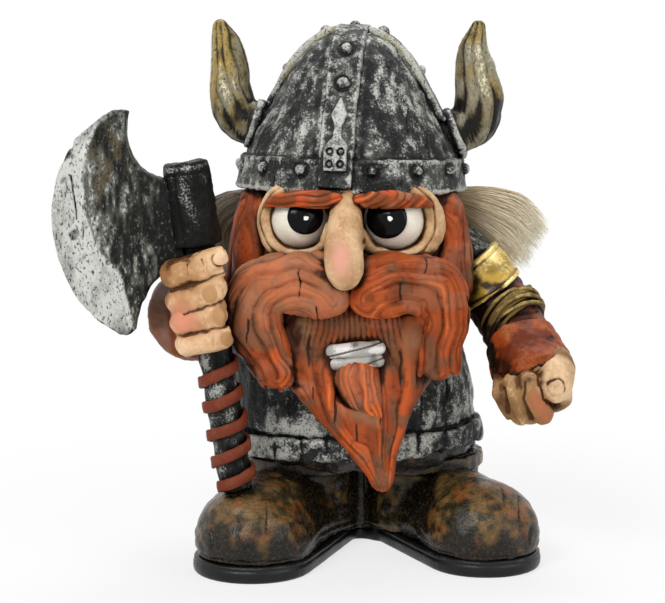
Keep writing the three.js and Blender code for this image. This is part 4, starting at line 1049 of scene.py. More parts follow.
def build_moustache(side):
    name = "moustache_" + side
    half = MOUSTACHE[side]

    def form(points):
        cheek = ball(points, half["cheek"], (7.4, 4.4, 4.8))
        whole = melt(limb(points, half["stations"], 0.88, steps=4), cheek, 2.5)
        ragged = 0.9 * noise(points * (1, 1, 0.2), 2.6, 139)
        return limit(whole, half["foot"] + ragged - points[:, 2], 1.0)

    skin = sculpt(name, form, FINE, 2.4, 2)
    points = skin.points
    route = [[x, z] for x, _, z, _ in half["stations"]]
    along, aside = beside_path(points[:, 0], points[:, 2], spline(route, 6))
    across = aside + 1.5 * noise(points, 10, 140) + 0.4 * noise(points, 5, 141)
    end = step_up(along, 1.5, 6)  # the end under the nose is a smooth round lobe
    ridge = strands(across / 4.1 + 40, 142, 1.6) * (0.15 + 0.85 * end)
    place = across / 1.75 + 0.4 * noise(points, 6, 145) + 90
    second = strands(place, 143, 1.3) * (0.6 + 0.45 * noise(points, 7, 146)) * (0.3 + 0.7 * end)
    fine = strands(across / 0.75 + 60, 147)
    slit = cracks(points, -45, half["cracks"])
    skin.raised(1.35 * ridge + 0.55 * second + 0.1 * fine + 0.75 - 0.5 * slit)
    tint, wash_and_painted_shade, rub_and_painted_highlight = hair_paint(skin, 0.7 * ridge + 0.5 * second + 0.12 * fine, place, 144, -0.08)
    if side == "left":
        tint = mixed(tint, "6a3a1e", 0.22)
    else:
        tint = mixed(tint, "c48a66", 0.4 * step_up(points[:, 2], 60, 74))
    finish_piece(name, skin, "hair", tint, wash_and_painted_shade + 1.1 * slit, rub_and_painted_highlight - slit)


BEARD_ROWS = np.array([  # height, middle, half width
    [22.9, 8.2, 1.2], [25, 7.4, 2.8], [34, 4.6, 7.4], [44.6, 1.4, 14.8], [51, 0.8, 20.2], [58, 0, 25.4],
    [68, -0.7, 30], [78, -0.9, 31.4], [100, -0.8, 30],
])
BEARD_CRACKS = ((-12.5, 60, 9), (-5.4, 44.6, 8), (0.4, 39, 5), (12.4, 56, 10), (7, 45, 9), (-11, 49, 4))


def build_beard():
    smooth = node_form("beard", 1.5, 0.35)

    def form(points):
        tip = ball(points, (7.2, -40.6, 25.4), (2.6, 2.4, 2.9))
        dip = ball(points, (0.4, -46, 57.6), (11.5, 8.4, 10.5))
        lip = ball(points, (0.2, -36.2, 67), (13, 4.6, 5.4))
        whole = carve(melt(smooth(points), tip, 2.0), dip + 0.6, 2.5)
        whole = melt(whole, lip, 1.5)
        for x, z in ((-15, 66), (15.4, 65)):  # the corners under the moustache
            whole = melt(whole, ball(points, (x, -35.4, z), (4.6, 4.2, 7)), 2.5)
        return whole

    skin = sculpt("beard", form, FINE * 1.06, room=0.5)
    points = skin.points
    x, z = points[:, 0], points[:, 2]
    middle, half = (np.interp(z, BEARD_ROWS[:, 0], BEARD_ROWS[:, k]) for k in (1, 2))
    share = (x - middle) / half
    wave = 0.24 * noise(points, 13, 150, (1, 1, 1.8)) + 0.07 * noise(points, 4.5, 151, (1, 1, 2))
    ridge = strands((share + wave) * 3.1 + 40.3, 152, 1.4)
    place = (share + 0.8 * wave) * 8.5 + 90
    second = strands(place, 153, 1.2) * (0.6 + 0.5 * noise(points, 8, 155))
    depth = np.clip(half / 14, 0.35, 1.0)
    lip_zone = step_up(z, 60.5, 62.5) * step_up(14.5 - np.abs(x + 0.4), 0, 3)
    lip_place = x / 1.45 + 0.06 * (z - 66) * (x + 1) / 4 + 0.3 * noise(points, 4, 156) + 60
    lip_ridge = strands(lip_place, 157, 1.2)
    height = (1 - lip_zone) * depth * (1.2 * ridge + 0.4 * second) + lip_zone * 0.8 * lip_ridge + 0.4
    slit = cracks(points, -42, BEARD_CRACKS)
    skin.raised(height - 0.5 * slit)
    both = (1 - lip_zone) * (0.8 * ridge + 0.5 * second) + lip_zone * lip_ridge
    place = np.where(lip_zone > 0.5, lip_place, place)
    tint, wash_and_painted_shade, rub_and_painted_highlight = hair_paint(skin, both, place, 154, -0.15)
    mouth = np.exp(-(((x - 0.5) / 15) ** 2 + ((z - 62) / 9) ** 4))
    mouth = mouth * step_up(z, 50, 56) * (skin.normals[:, 1] < 0)
    mouth = mouth * (1 - 0.8 * step_up(strand_tone(place, 166) + 0.5 * noise(points, 5, 165), 0.1, 0.7))
    corner = spot(x + 13.6, z - 67.4, 2.6, 3.4) + 0.6 * spot(x - 14.5, z - 63, 2.6, 6)
    smear = groove(z - 43.2 + 0.36 * (x - 2), 2.6) * step_up(5.6 - np.abs(x - 2.6), 0, 2.5)
    tint = mixed(tint, "75482a", 0.85 * mouth)
    tint = mixed(tint, "8a6444", np.clip(corner + 0.8 * smear, 0, 1))
    rub_and_painted_highlight = rub_and_painted_highlight - 0.25 * mouth - slit - 0.5 * np.clip(corner + smear, 0, 1)
    finish_piece("beard", skin, "hair", tint, wash_and_painted_shade + 1.1 * slit, rub_and_painted_highlight)


LIP_TUFT = [[0.6, -39.4, 53, 6.1], [2, -40.2, 49.2, 5.3], [4.2, -41.4, 45.8, 3.2], [6.1, -42.6, 43, 1.1]]


def build_lip_tuft():
    skin = sculpt("lip_tuft", lambda points: limb(points, LIP_TUFT, 0.85), FINEST, room=2.4)
    points = skin.points
    drop = np.clip(54 - points[:, 2], 0, 12)
    place = (points[:, 0] - 0.4 - 0.03 * drop**2) / (1.9 - 0.07 * drop) + 20
    place += 0.6 * noise(points, 3.4, 160, (1, 1, 1.5))
    ridge = strands(place, 161, 1.1) * (0.7 + 0.5 * noise(points, 3, 165))
    skin.raised(0.55 * ridge + 0.3)
    tint, wash_and_painted_shade, rub_and_painted_highlight = hair_paint(skin, ridge, place, 163, 0.04)
    edge = step_up(np.abs(points[:, 0] - 1.4 - 0.02 * drop**2), 3.4, 6)
    finish_piece("lip_tuft", skin, "hair", mixed(tint, "6f4a30", 0.8 * edge), wash_and_painted_shade + 0.2 * edge, rub_and_painted_highlight - 0.4 * edge)


TEETH_ROWS = {  # split is the height, at x = 0, of the slanting line between two bands
    "upper_teeth": {"stations": [[-5.9, -40, 60.2, 1.9], [0.2, -41.2, 60.7, 2.2], [6.2, -40.4, 61.2, 2]],
                    "split": 61.0},
    "lower_teeth": {"stations": [[-4.8, -40, 56.7, 1.8], [0.5, -41.2, 57.2, 2.1], [6, -40.2, 57.8, 1.9]],
                    "split": 56.4},
}


def build_teeth():
    for name, row in TEETH_ROWS.items():
        skin = sculpt(name, lambda points: limb(points, row["stations"], 0.9, steps=4), FINEST, 0.8)
        points = skin.points
        split = groove(points[:, 2] - row["split"] - 0.3 * points[:, 0] - 0.25 * noise(points, 4, 173), 0.34)
        skin.raised(0.1 * noise(points, 2, 170) - 0.35 * split)
        shade = skin.shade()
        tint = between("a9a7a0", "79716a", step_up(noise(points, 2.5, 171), -0.2, 0.8))
        tint = mixed(tint, "2b241e", np.clip(1.6 * split, 0, 1))
        wash_and_painted_shade = 0.55 * np.clip(shade - 0.15, 0, 1) + 0.1
        rub_and_painted_highlight = 0.44 + 0.25 * noise(points, 2.4, 172, (2, 1, 1)) - 1.1 * split - 0.4 * shade
        finish_piece(name, skin, "teeth", tint, wash_and_painted_shade, rub_and_painted_highlight)


# Body: tunic, belt, trousers


BODY = (1.2, -4.0)
TUNIC_ROWS = [  # height, half width, half depth, shift across
    [28, 31.4, 25, 0], [35.8, 34.2, 27.8, -0.8], [46, 34.1, 27.4, -1.3], [60, 32.4, 25.2, -3],
    [70, 31.5, 22.8, -2.9], [78, 29.6, 19.6, -1.8], [85, 24.2, 16.2, -1.2], [89.4, 14, 11, -1.4],
]
BELT_TILT = math.radians(2.4)
BELT_LOW, BELT_HIGH = 28.6, 34.8
BELT_TALL = BELT_HIGH - BELT_LOW


def above_belt_foot(points):
    """Height above the belt's foot, in the belt's own tilted frame."""
    return (points[:, 2] - BELT_LOW) * math.cos(BELT_TILT) - points[:, 0] * math.sin(BELT_TILT)


def build_tunic():
    rows = spline(TUNIC_ROWS, 4)

    def form(points):
        x, y, z = points.T
        width, depth, shift = (np.interp(z, rows[:, 0], rows[:, k]) for k in (1, 2, 3))
        stack = oval(x - BODY[0] - shift, y - BODY[1], width, depth)
        stack = np.maximum(stack, np.maximum(rows[0, 0] - z, z - rows[-1, 0]))
        armpit = ball(points, (-30.2, -8, 57), (5, 8, 8))
        return melt(stack, armpit, 2)

    skin = sculpt("tunic", form, COARSE, 1.4, 1)
    points = skin.points
    slit = cracks(points, -30, ((18.6, 44, 10), (-18, 43, 8), (26, 48, 8)), 0.5)
    up = above_belt_foot(points) - BELT_TALL
    skin.raised(1.2 * hammered(points, 180) - 0.5 * groove(up - 0.3, 1.0) - 0.6 * slit)
    tint, wash_and_painted_shade, rub_and_painted_highlight = armour_paint(skin, 180, 0.3, (1, 1, 1.3))
    haft_shadow = step_up(-points[:, 0], 20, 28) * step_up(-points[:, 1], -14, -5)  # painted shadow of the haft
    wash_and_painted_shade += 0.9 * slit + 0.4 * step_up(-up, -1.5, 1) + 0.9 * haft_shadow
    finish_piece("tunic", skin, "armour", tint, wash_and_painted_shade, rub_and_painted_highlight - 0.5 * haft_shadow)


def build_belt():
    def form(points):
        up = above_belt_foot(points)
        side = oval(points[:, 0] - BODY[0], points[:, 1] - BODY[1], 36.0, 29.0)
        ragged = 0.5 * noise(points, 5, 190) + 0.25 * noise(points, 2, 191)
        ring = np.maximum(side - 0.2 * noise(points, 6, 192), -side - 2.9)
        ring = limit(ring, up - BELT_TALL - 0.3 * ragged, 1.2)
        return limit(ring, -up - 0.6 * ragged, 1.2)

    skin = sculpt("belt", form, COARSE)
    places = ((-14.5, 31.5, 7), (-22, 30.5, 5), (17.4, 34, 7), (25.5, 34, 5), (-8, 33, 5))
    slit = cracks(skin.points, -30, places, 0.55)
    skin.raised(hammered(skin.points, 193) - 0.6 * slit)
    tint, wash_and_painted_shade, rub_and_painted_highlight = armour_paint(skin, 193, 0.36, (1.5, 1.5, 1))
    # darker towards the figure's left
    toward_left = step_up(skin.still[:, 0], 6, 26)
    wash_and_painted_shade += 0.25 * toward_left + 0.12 + slit
    rub_and_painted_highlight -= 0.14 * toward_left + 0.07 + slit
    finish_piece("belt", skin, "armour", tint, wash_and_painted_shade, rub_and_painted_highlight)


def build_trousers():
    skin = sculpt("trousers", node_form("trousers", 1.2, 0.2), COARSE)
    points = skin.points
    turn = np.arctan2(points[:, 1] - BODY[1], points[:, 0] - BODY[0])
    folds = np.sin(turn * 17 + 2.5 * noise(points, 8, 200))
    skin.raised(0.35 * folds + 0.2 * noise(points, 2, 201))
    shade = skin.shade()
    rub_and_painted_highlight = 0.7 * (0.12 + 0.25 * noise(points, 3, 202) - 0.4 * shade)
    finish_piece("trousers", skin, "trousers", linear("24262a"), 0.3 + shade - 0.2 * folds, rub_and_painted_highlight)


# Boots and soles


BOOTS = {  # the toe, the heel and the shaft are placed seen from above
    "right": {"toe": (-27.5, -37.4), "heel": (-12.4, 2), "shaft": (-14.2, -4.6), "toe_radius": 15.8,
              "toe_height": 23.6, "inward": 1},
    "left": {"toe": (35.4, -32), "heel": (17.4, 5), "shaft": (19.6, -2.6), "toe_radius": 15.2,
             "toe_height": 23.4, "inward": -1},
}
HEEL_RADIUS = 14.4
SHAFT_RADIUS = 17.1
SOLE_TOP = 4.6
LEG_MIDDLE = 2.7
LEG_MEETING = 7
BOOT_INSET = 0.6
BOOT_CRACKS = ((-30.8, 15, 8), (-23.4, 17, 7), (-38.4, 11, 6), (-18, 10, 5), (44.6, 17, 8), (40.2, 21, 5),
               (47.4, 10, 5), (31, 9, 5))


def boot_distance(points, boot):
    x, y, z = points.T
    toe, heel, shaft = (np.array(boot[key]) for key in ("toe", "heel", "shaft"))
    radius, tall = boot["toe_radius"], boot["toe_height"]
    instep = toe + (heel - toe) * 0.42
    turn = math.degrees(math.atan2(heel[1] - toe[1], heel[0] - toe[0]))
    cap = ball(points, (*toe, tall * 0.38), (radius + 0.6, radius + 0.2, tall * 0.62), turn)
    stations = [[*toe, tall * 0.4, radius * 0.86], [*instep, tall * 0.5, HEEL_RADIUS], [*heel, tall * 0.4, HEEL_RADIUS]]
    foot = limb(points, stations, 0.86, (0, 0, 1))
    plan = np.stack([x, y, np.zeros_like(x)], axis=1)
    outline = [[*toe, 0, radius - BOOT_INSET], [*heel, 0, HEEL_RADIUS - BOOT_INSET]]
    wall = limit(limb(plan, outline, steps=1), z - 11, 2.5)
    leg = np.maximum(np.hypot(x - shaft[0], y - shaft[1]) - SHAFT_RADIUS, z - 27)
    to_middle = boot["inward"] * (x - LEG_MIDDLE) - 0.7
    meet = np.maximum(np.abs(y - shaft[1]) - LEG_MEETING, np.maximum(to_middle, -to_middle - 12))
    leg = melt(leg, np.maximum(meet, z - 22.2), 1.0)
    whole = melt(melt(melt(cap, foot, 3), wall, 2), leg, 3)
    return np.maximum(whole, SOLE_TOP + 0.05 - z)


def build_boot(side):
    boot = BOOTS[side]
    name = "boot_" + side
    skin = sculpt(name, lambda points: boot_distance(points, boot), COARSE, 0.8)
    points = skin.points
    x, y, z = points.T
    away = np.hypot(x - boot["toe"][0], y - boot["toe"][1])
    ankle = step_up(away, 12, 20)
    slit = cracks(points, -45, BOOT_CRACKS, 0.5)
    height = 0.3 * noise(points, 7, 210) + 0.12 * noise(points, 2.2, 211)
    height += ankle * 0.55 * strands(z / 4.2 + 0.5 * noise(points, 9, 212) + 10, 213)
    skin.raised(height - 0.55 * groove(z - SOLE_TOP - 0.9, 0.9) - 0.5 * slit)
    shade = skin.shade()
    tone = fractal(points, 6, 214, 4)
    patch = fractal(points, 2.2, 219, 3)
    worn = np.clip(-skin.normals[:, 1], 0, 1) * step_up(12 - away, -3, 8)
    rusty = step_up(noise(points, 4, 215) + 0.6 * noise(points, 1.6, 216), 0.25, 0.9) * (1 - 0.6 * ankle)
    tint = between("2b2815", "604a26", step_up(patch + 0.6 * tone + 0.4 * worn, -0.5, 0.7))
    tint = mixed(tint, "8a4c20", 0.7 * rusty)
    crease = groove(away - boot["toe_radius"] - 1.5, 4.5) * (z < 26)  # painted shade where the toe meets the leg
    middle = step_up(4.5 - np.abs(x - LEG_MIDDLE), 0, 2.5)  # painted shade between the legs
    out = step_up(z, 5, 13) * (1 - 0.7 * ankle)
    wash_and_painted_shade = 0.5 - 0.35 * tone - 0.2 * patch + 1.0 * shade - 0.3 * out - 0.2 * worn + 0.3 * skin.hollow + 1.1 * slit
    wash_and_painted_shade += 0.3 * ankle + 0.45 * crease + 1.2 * middle
    rub_and_painted_highlight = 0.25 * tone + 0.2 * out + 0.3 * patch - 0.05 + 0.1 * worn - 0.6 * shade - slit - 0.2 * ankle - 0.3 * crease
    finish_piece(name, skin, "boot", tint, wash_and_painted_shade, rub_and_painted_highlight - middle)


def build_boot_cuff(side):
    name = "boot_cuff_" + side
    shaft = BOOTS[side]["shaft"]

    def form(points):
        off = np.hypot(points[:, 0] - shaft[0], points[:, 1] - shaft[1])
        ring = np.abs(off - 16.9) - 1.15 - 0.15 * noise(points, 5, 220)
        return limit(ring, np.abs(points[:, 2] - 24.2) - 2.1 - 0.25 * noise(points, 4, 221), 0.8)

    skin = sculpt(name, form, MEDIUM, 0.8)
    skin.raised(0.2 * noise(skin.points, 2.4, 222))
    shade = skin.shade()
    tone = fractal(skin.still, 5, 223, 3)
    finish_piece(name, skin, "boot", linear("3b3a30"), 0.3 - 0.4 * tone + 0.8 * shade, 0.25 + 0.4 * tone - 0.5 * shade)


def build_sole():
    skin = sculpt("sole_plate", node_form("sole_plate", 0.7, 0.15, 0.6), MEDIUM)
    points = skin.points
    wall = np.abs(skin.normals[:, 2]) < 0.6
    skin.raised((0.12 * noise(points, 6, 230) - 0.4 * groove(points[:, 2] - 3.5, 0.5)) * wall)
    rub_and_painted_highlight = 0.1 + 0.2 * noise(points, 3, 231) + 0.3 * groove(points[:, 2] - 4.2, 0.5)
    finish_piece("sole_plate", skin, "sole", linear("141615"), 0.2 + skin.shade(), rub_and_painted_highlight)


# Axe


HAFT_FOOT = np.array([-31.9, -39.4, 22.6])
HAFT_TOP = np.array([-44.9, -40.4, 110.9])
HAFT_LENGTH = float(np.linalg.norm(HAFT_TOP - HAFT_FOOT))
HAFT_RADIUS = 4.4
HAFT_AXIS = unit(HAFT_TOP - HAFT_FOOT)
HAFT_FORWARD = unit(TO_VIEWER + HAFT_AXIS * HAFT_AXIS[1])
HAFT_ACROSS = np.cross(HAFT_AXIS, HAFT_FORWARD)
SOCKET_LENGTH = 22.5
SOCKET_START = HAFT_LENGTH - SOCKET_LENGTH


def on_haft(points):
    """Place across, in front of and along the haft."""
    offset = points - HAFT_FOOT.astype(np.float32)
    return offset @ HAFT_ACROSS, offset @ HAFT_FORWARD, offset @ HAFT_AXIS


def from_haft(across, forward, along):
    return HAFT_FOOT + HAFT_ACROSS * across + HAFT_FORWARD * forward + HAFT_AXIS * along


def build_haft():
    def form(points):
        x, y, along = on_haft(points)
        off = np.hypot(x, y) - HAFT_RADIUS - 0.2 * noise(points, 5, 240)
        return limit(off, np.maximum(-along, along - HAFT_LENGTH + 1), 0.6)

    skin = sculpt("axe_haft", form, MEDIUM, 0.6)
    points = skin.points
    x, y, _ = on_haft(points)
    grain = strands(np.arctan2(y, x) * 2.6 + 0.5 * noise(points, 6, 241, (1, 1, 3)) + 20, 242)
    skin.raised(0.3 * grain + 0.15 * noise(points, 1.6, 243, (1, 1, 3)) + 0.1)
    shade = skin.shade()
    tone = fractal(points, 4, 244, 3, (1, 1, 1.6))
    front = np.clip(-skin.normals[:, 1], 0, 1) * step_up(-x, -2, 3)
    wash_and_painted_shade = 0.45 - 0.4 * tone + 0.8 * shade - 0.35 * front
    rub_and_painted_highlight = 0.22 + 0.45 * tone + 0.3 * front - 0.6 * shade
    finish_piece("axe_haft", skin, "haft", linear("2b2c29"), wash_and_painted_shade, rub_and_painted_highlight)


def build_socket():
    def form(points):
        x, y, along = on_haft(points)
        up = along - SOCKET_START
        off = np.hypot(x, y) - (6.9 - 0.045 * up) - 0.15 * noise(points, 6, 250)
        return limit(off, np.maximum(-up, up - SOCKET_LENGTH), 0.45)

    skin = sculpt("axe_socket", form, MEDIUM, 0.6)
    points = skin.points
    x, y, along = on_haft(points)
    up = along - SOCKET_START
    edge = groove(x + 3.4, 0.7) * (y > 0)
    flat = skin.normals @ HAFT_AXIS.astype(np.float32) > 0.7
    dent = 0.3 * flat * step_up(5.4 - np.hypot(x, y), 0, 0.8)
    skin.raised(0.25 * noise(points, 3, 251, (1, 1, 2)) + 0.12 * noise(points, 1.2, 252) - 0.3 * edge - dent)
    shade = skin.shade()
    tone = fractal(points, 3.6, 253, 3, (1, 1, 1.8))
    # a painted highlight patch on the socket's front
    worn = spot(x + 0.6, up - 12, 2.3, 4.6) * (y > 0)
    rim = groove(up - SOCKET_LENGTH + 1.4, 0.9) * (1 - flat)
    line = groove(up - SOCKET_LENGTH + 2.9, 0.5) * (1 - flat)
    wash_and_painted_shade = 0.6 - 0.35 * tone + 0.6 * shade - 0.5 * worn - 0.4 * rim + 0.5 * line
    rub_and_painted_highlight = 0.08 + 0.35 * tone + 0.36 * worn - 0.4 * shade + 0.3 * rim + 0.14 * flat - 0.5 * line
    finish_piece("axe_socket", skin, "haft", linear("171915"), wash_and_painted_shade, rub_and_painted_highlight)


BLADE_CURVES = [  # the blade's outline: places across the haft and above the socket's foot
    [(-4, -2.6), (-12.6, -4.6), (-17.6, -11.4), (-20, -19.6)],
    [(-20, -19.6), (-21, -21.9), (-24.4, -20.2)],
    [(-24.4, -20.2), (-34, -13.4), (-38, -2.4), (-37.6, 8.8)],
    [(-37.6, 8.8), (-37.1, 20.2), (-32.2, 30.8), (-21.6, 36.4)],
    [(-21.6, 36.4), (-16.6, 39.2), (-12.6, 37.8)],
    [(-12.6, 37.8), (-14.2, 34), (-15.2, 28.4), (-12.6, 23.8)],
    [(-12.6, 23.8), (-10, 19.4), (-4, 18.2)],
]
BEVEL = [(-16, 38), (-21.4, 34.5), (-25.7, 26.8), (-27.7, 17.4), (-27.3, 6.6), (-23.9, -0.6), (-21.1, -5.4),
         (-21.0, -9.7), (-20.5, -16)]


def build_blade():
    """A crescent with a ground edge beyond a curved bevel line."""
    outline = [tuple(place) for controls in BLADE_CURVES for place in curve(controls)]

    def form(points):
        x, y, along = on_haft(points)
        up = along - SOCKET_START
        flat = plan_distance(x, up, outline) - 0.15 + 0.18 * noise(points, 3.4, 259)
        notch = np.hypot(x + 29.6, 0.8 * (up - 32.3)) - 1.5
        half = np.interp(x, (-40, -27, 2), (1.0, 2.5, 3.1))
        return limit(np.maximum(flat, -notch), np.abs(y) - half, 0.8)

    skin = sculpt("axe_blade", form, FINE * 1.15, room=1)
    points = skin.points
    x, _, along = on_haft(points)
    up = along - SOCKET_START
    past_bevel = -beside_path(x, up, spline(BEVEL, 6))[1] - 0.3 * noise(points, 5, 260)
    ground = step_up(past_bevel, -0.5, 0.5)
    height = 0.4 * groove(past_bevel - 0.5, 0.9) - 0.3 * ground
    height += 0.14 * noise(points, 3.5, 261, (1, 1, 2)) + 0.1 * noise(points, 1.0, 262, (1, 1, 3.5))
    slit = groove(x + 30.3 - 0.03 * (up - 17) - 0.25 * noise(points, 4, 264), 0.42) * (np.abs(up - 17.5) < 6)
    slit = np.maximum(slit, 0.8 * groove(x + 29.4 - 0.25 * (up - 8), 0.4) * (np.abs(up - 8.5) < 2.6))
    skin.raised(height - 0.6 * slit)
    shade = skin.shade()
    tone = fractal(points, 4.5, 265, 3, (1, 1, 2))
    fine = noise(points, 0.9, 266, (1, 1, 3))
    ochre = spot(x + 20.5, up - 25, 5.2, 8.5) + 0.5 * noise(points, 1.1, 267, (1, 1, 4))
    ochre = step_up(ochre, 0.35, 1.0) * (1 - ground)
    near = step_up(-x, 9, 26)  # paler towards the bevel
    root = step_up(x, -15, -8)
    tips = step_up(np.abs(up - 9), 25, 29)
    worn = step_up(tone + 0.5 * noise(points, 2.2, 268, (1, 1, 1.6)), 0.35, 1.1)  # dark spots in the ground edge
    inner = between("23251e", "63645b", step_up(tone + 0.5 * fine + 0.5 * near, -0.4, 1.1))
    outer = between("9c9d98", "c9cac3", step_up(tone + 0.3 * fine, -0.6, 0.6))
    tint = mixed(inner, "584a30", 0.6 * ochre)
    tint = tint + (outer - tint) * ground[:, None]
    rim = groove(plan_distance(x, up, outline) + 0.3, 0.7) * ground * (tone > 0)
    wash_and_painted_shade = 0.42 - 0.3 * tone - 0.3 * fine + 0.4 * root - 0.3 * ochre - 0.22 * near
    wash_and_painted_shade += (0.02 + 0.6 * worn + 0.5 * tips - wash_and_painted_shade) * ground
    wash_and_painted_shade = wash_and_painted_shade + 0.5 * shade + 1.0 * slit + 0.3 * rim
    rub_and_painted_highlight = 0.04 + 0.2 * tone + 0.25 * fine - 0.25 * root + 0.06 * near
    rub_and_painted_highlight += (0.4 + 0.3 * tone - 0.5 * worn - 0.5 * tips - rub_and_painted_highlight) * ground
    rub_and_painted_highlight = rub_and_painted_highlight + 0.6 * groove(past_bevel - 0.7, 0.9) * (1 - tips) - 0.15 * ochre - slit - 0.3 * shade
    finish_piece("axe_blade", skin, "iron", tint, wash_and_painted_shade, rub_and_painted_highlight)


def ribbon(path, outward, across, width, thickness, taper=1.0):
    """A closed strip along a path, with a rounded section of eight points."""
    path, outward, across = (np.asarray(rows)[:, None] for rows in (path, outward, across))
    count = len(path)
    angles = np.arange(8) / 8 * 2 * math.pi
    reach = [math.copysign(abs(math.cos(a)) ** 0.6, math.cos(a)) * width / 2 for a in angles]
    bulge = [math.copysign(abs(math.sin(a)) ** 0.5, math.sin(a)) * thickness / 2 for a in angles]
    section = across * np.array(reach)[:, None] + outward * np.array(bulge)[:, None]
    points = path + section * np.broadcast_to(taper, count)[:, None, None]
    first = np.arange(count - 1)[:, None] * 8
    corner = first + np.arange(8)
    following = first + (np.arange(8) + 1) % 8
    sides = np.stack([corner, following, following + 8, corner + 8], axis=-1).reshape(-1, 4)
    last = (count - 1) * 8
    start_cap = [(0, k + 2, k + 1, k) for k in (1, 3, 5)]
    end_cap = [(last, last + k, last + k + 1, last + k + 2) for k in (1, 3, 5)]
    return points.reshape(-1, 3).astype(np.float32), np.vstack([sides, start_cap, end_cap])


GRIP_TURNS, GRIP_PITCH, GRIP_START = 4.75, 7.3, 1.7
GRIP_START_TURN = math.radians(150)
GRIP_WIDTH, GRIP_THICKNESS = 3.3, 1.2


def build_grip_wrap():
    per_turn = 40
    turns = np.arange(int(per_turn * GRIP_TURNS) + 1) / per_turn
    angle = GRIP_START_TURN - turns * 2 * math.pi
    outward = HAFT_ACROSS * np.cos(angle)[:, None] + HAFT_FORWARD * np.sin(angle)[:, None]
    rise = GRIP_START + turns * GRIP_PITCH + 0.2 * np.sin(angle * 0.7) + 0.15 * np.sin(angle * 2.3)
    path = HAFT_FOOT + HAFT_AXIS * rise[:, None] + outward * (HAFT_RADIUS + 0.85)
    across = np.broadcast_to(HAFT_AXIS, path.shape)
    points, faces = ribbon(path, outward, across, GRIP_WIDTH, GRIP_THICKNESS)
    points += 0.12 * np.stack([noise(points, 2.2, 270 + k) for k in range(3)], axis=1)
    x, y, _ = on_haft(points)
    wash_and_painted_shade = 0.55 * step_up(HAFT_RADIUS + 1.2 - np.hypot(x, y), 0, 0.8) + 0.15 * noise(points, 3, 273)
    layers = {"tint": linear("72331f"), "wash_and_painted_shade": wash_and_painted_shade, "rub_and_painted_highlight": 0.3 + 0.25 * noise(points, 2, 274)}
    mesh_object("axe_grip_wrap", points, faces[:, ::-1], "leather", layers, "axe_grip_wrap")


# Hands


FIST_BOTTOM = 41.4
FINGERS = [  # heights along the haft at its left and its right end, radius, where it ends across the haft
    (42.1, 42.8, 3.1, 7.2), (47.8, 48.9, 3.4, 5.4), (53.9, 55.9, 3.7, 6.4), (60.7, 62.7, 4.1, 8.8),
]
FINGER_GAPS = [((-8.4, 44.8), (5, 45.8)), ((-5.8, 50.5), (5.3, 52.3)), ((-8.6, 56.6), (6.2, 59.6))]
FINGER_PADS = [  # place across and along the haft, half width, half height
    (4.9, 42.4, 1.9, 1.9), (3.6, 48.8, 1.8, 2.5), (2.1, 54.8, 1.9, 2.3),
]
FINGER_CREASES = [  # place across the haft, and the heights of its ends
    (1.3, 60.6, 64.4), (2.2, 60.9, 63.8), (-2.6, 60.4, 63.6), (-0.6, 46.6, 49.6), (4.9, 54.2, 58),
    (5.7, 54.6, 57.6), (1.2, 41.4, 43.6),
]


def haft_limb(points, stations, steps=3):
    """A limb through stations given across, in front of and along the haft."""
    return limb(points, [[*from_haft(*station[:3]), station[3]] for station in stations], steps=steps)


def finger_distance(points, left, right, radius, end):
    """A finger of the right hand, bent round the haft."""
    depth = 12.5 - radius
    back = [(-4.8, -5, left - 0.4, radius), (-6.6, 1, left - 0.2, radius), (-6.4, depth - 2.2, left, radius)]
    front = [(-6.2, depth - 1.8, left, radius), (0, depth, (left + right) / 2, radius),
             (end - 1.5, depth - 0.2, right, radius)]
    x, y, along = on_haft(points)
    whole = melt(haft_limb(points, back, 2), haft_limb(points, front, 2), 0.7)
    whole = limit(whole, y - 12.2, 1.5)
    return limit(whole, x - end + 0.12 * (along - right) ** 2 - 0.25 * noise(points, 3, 279), 1.4)


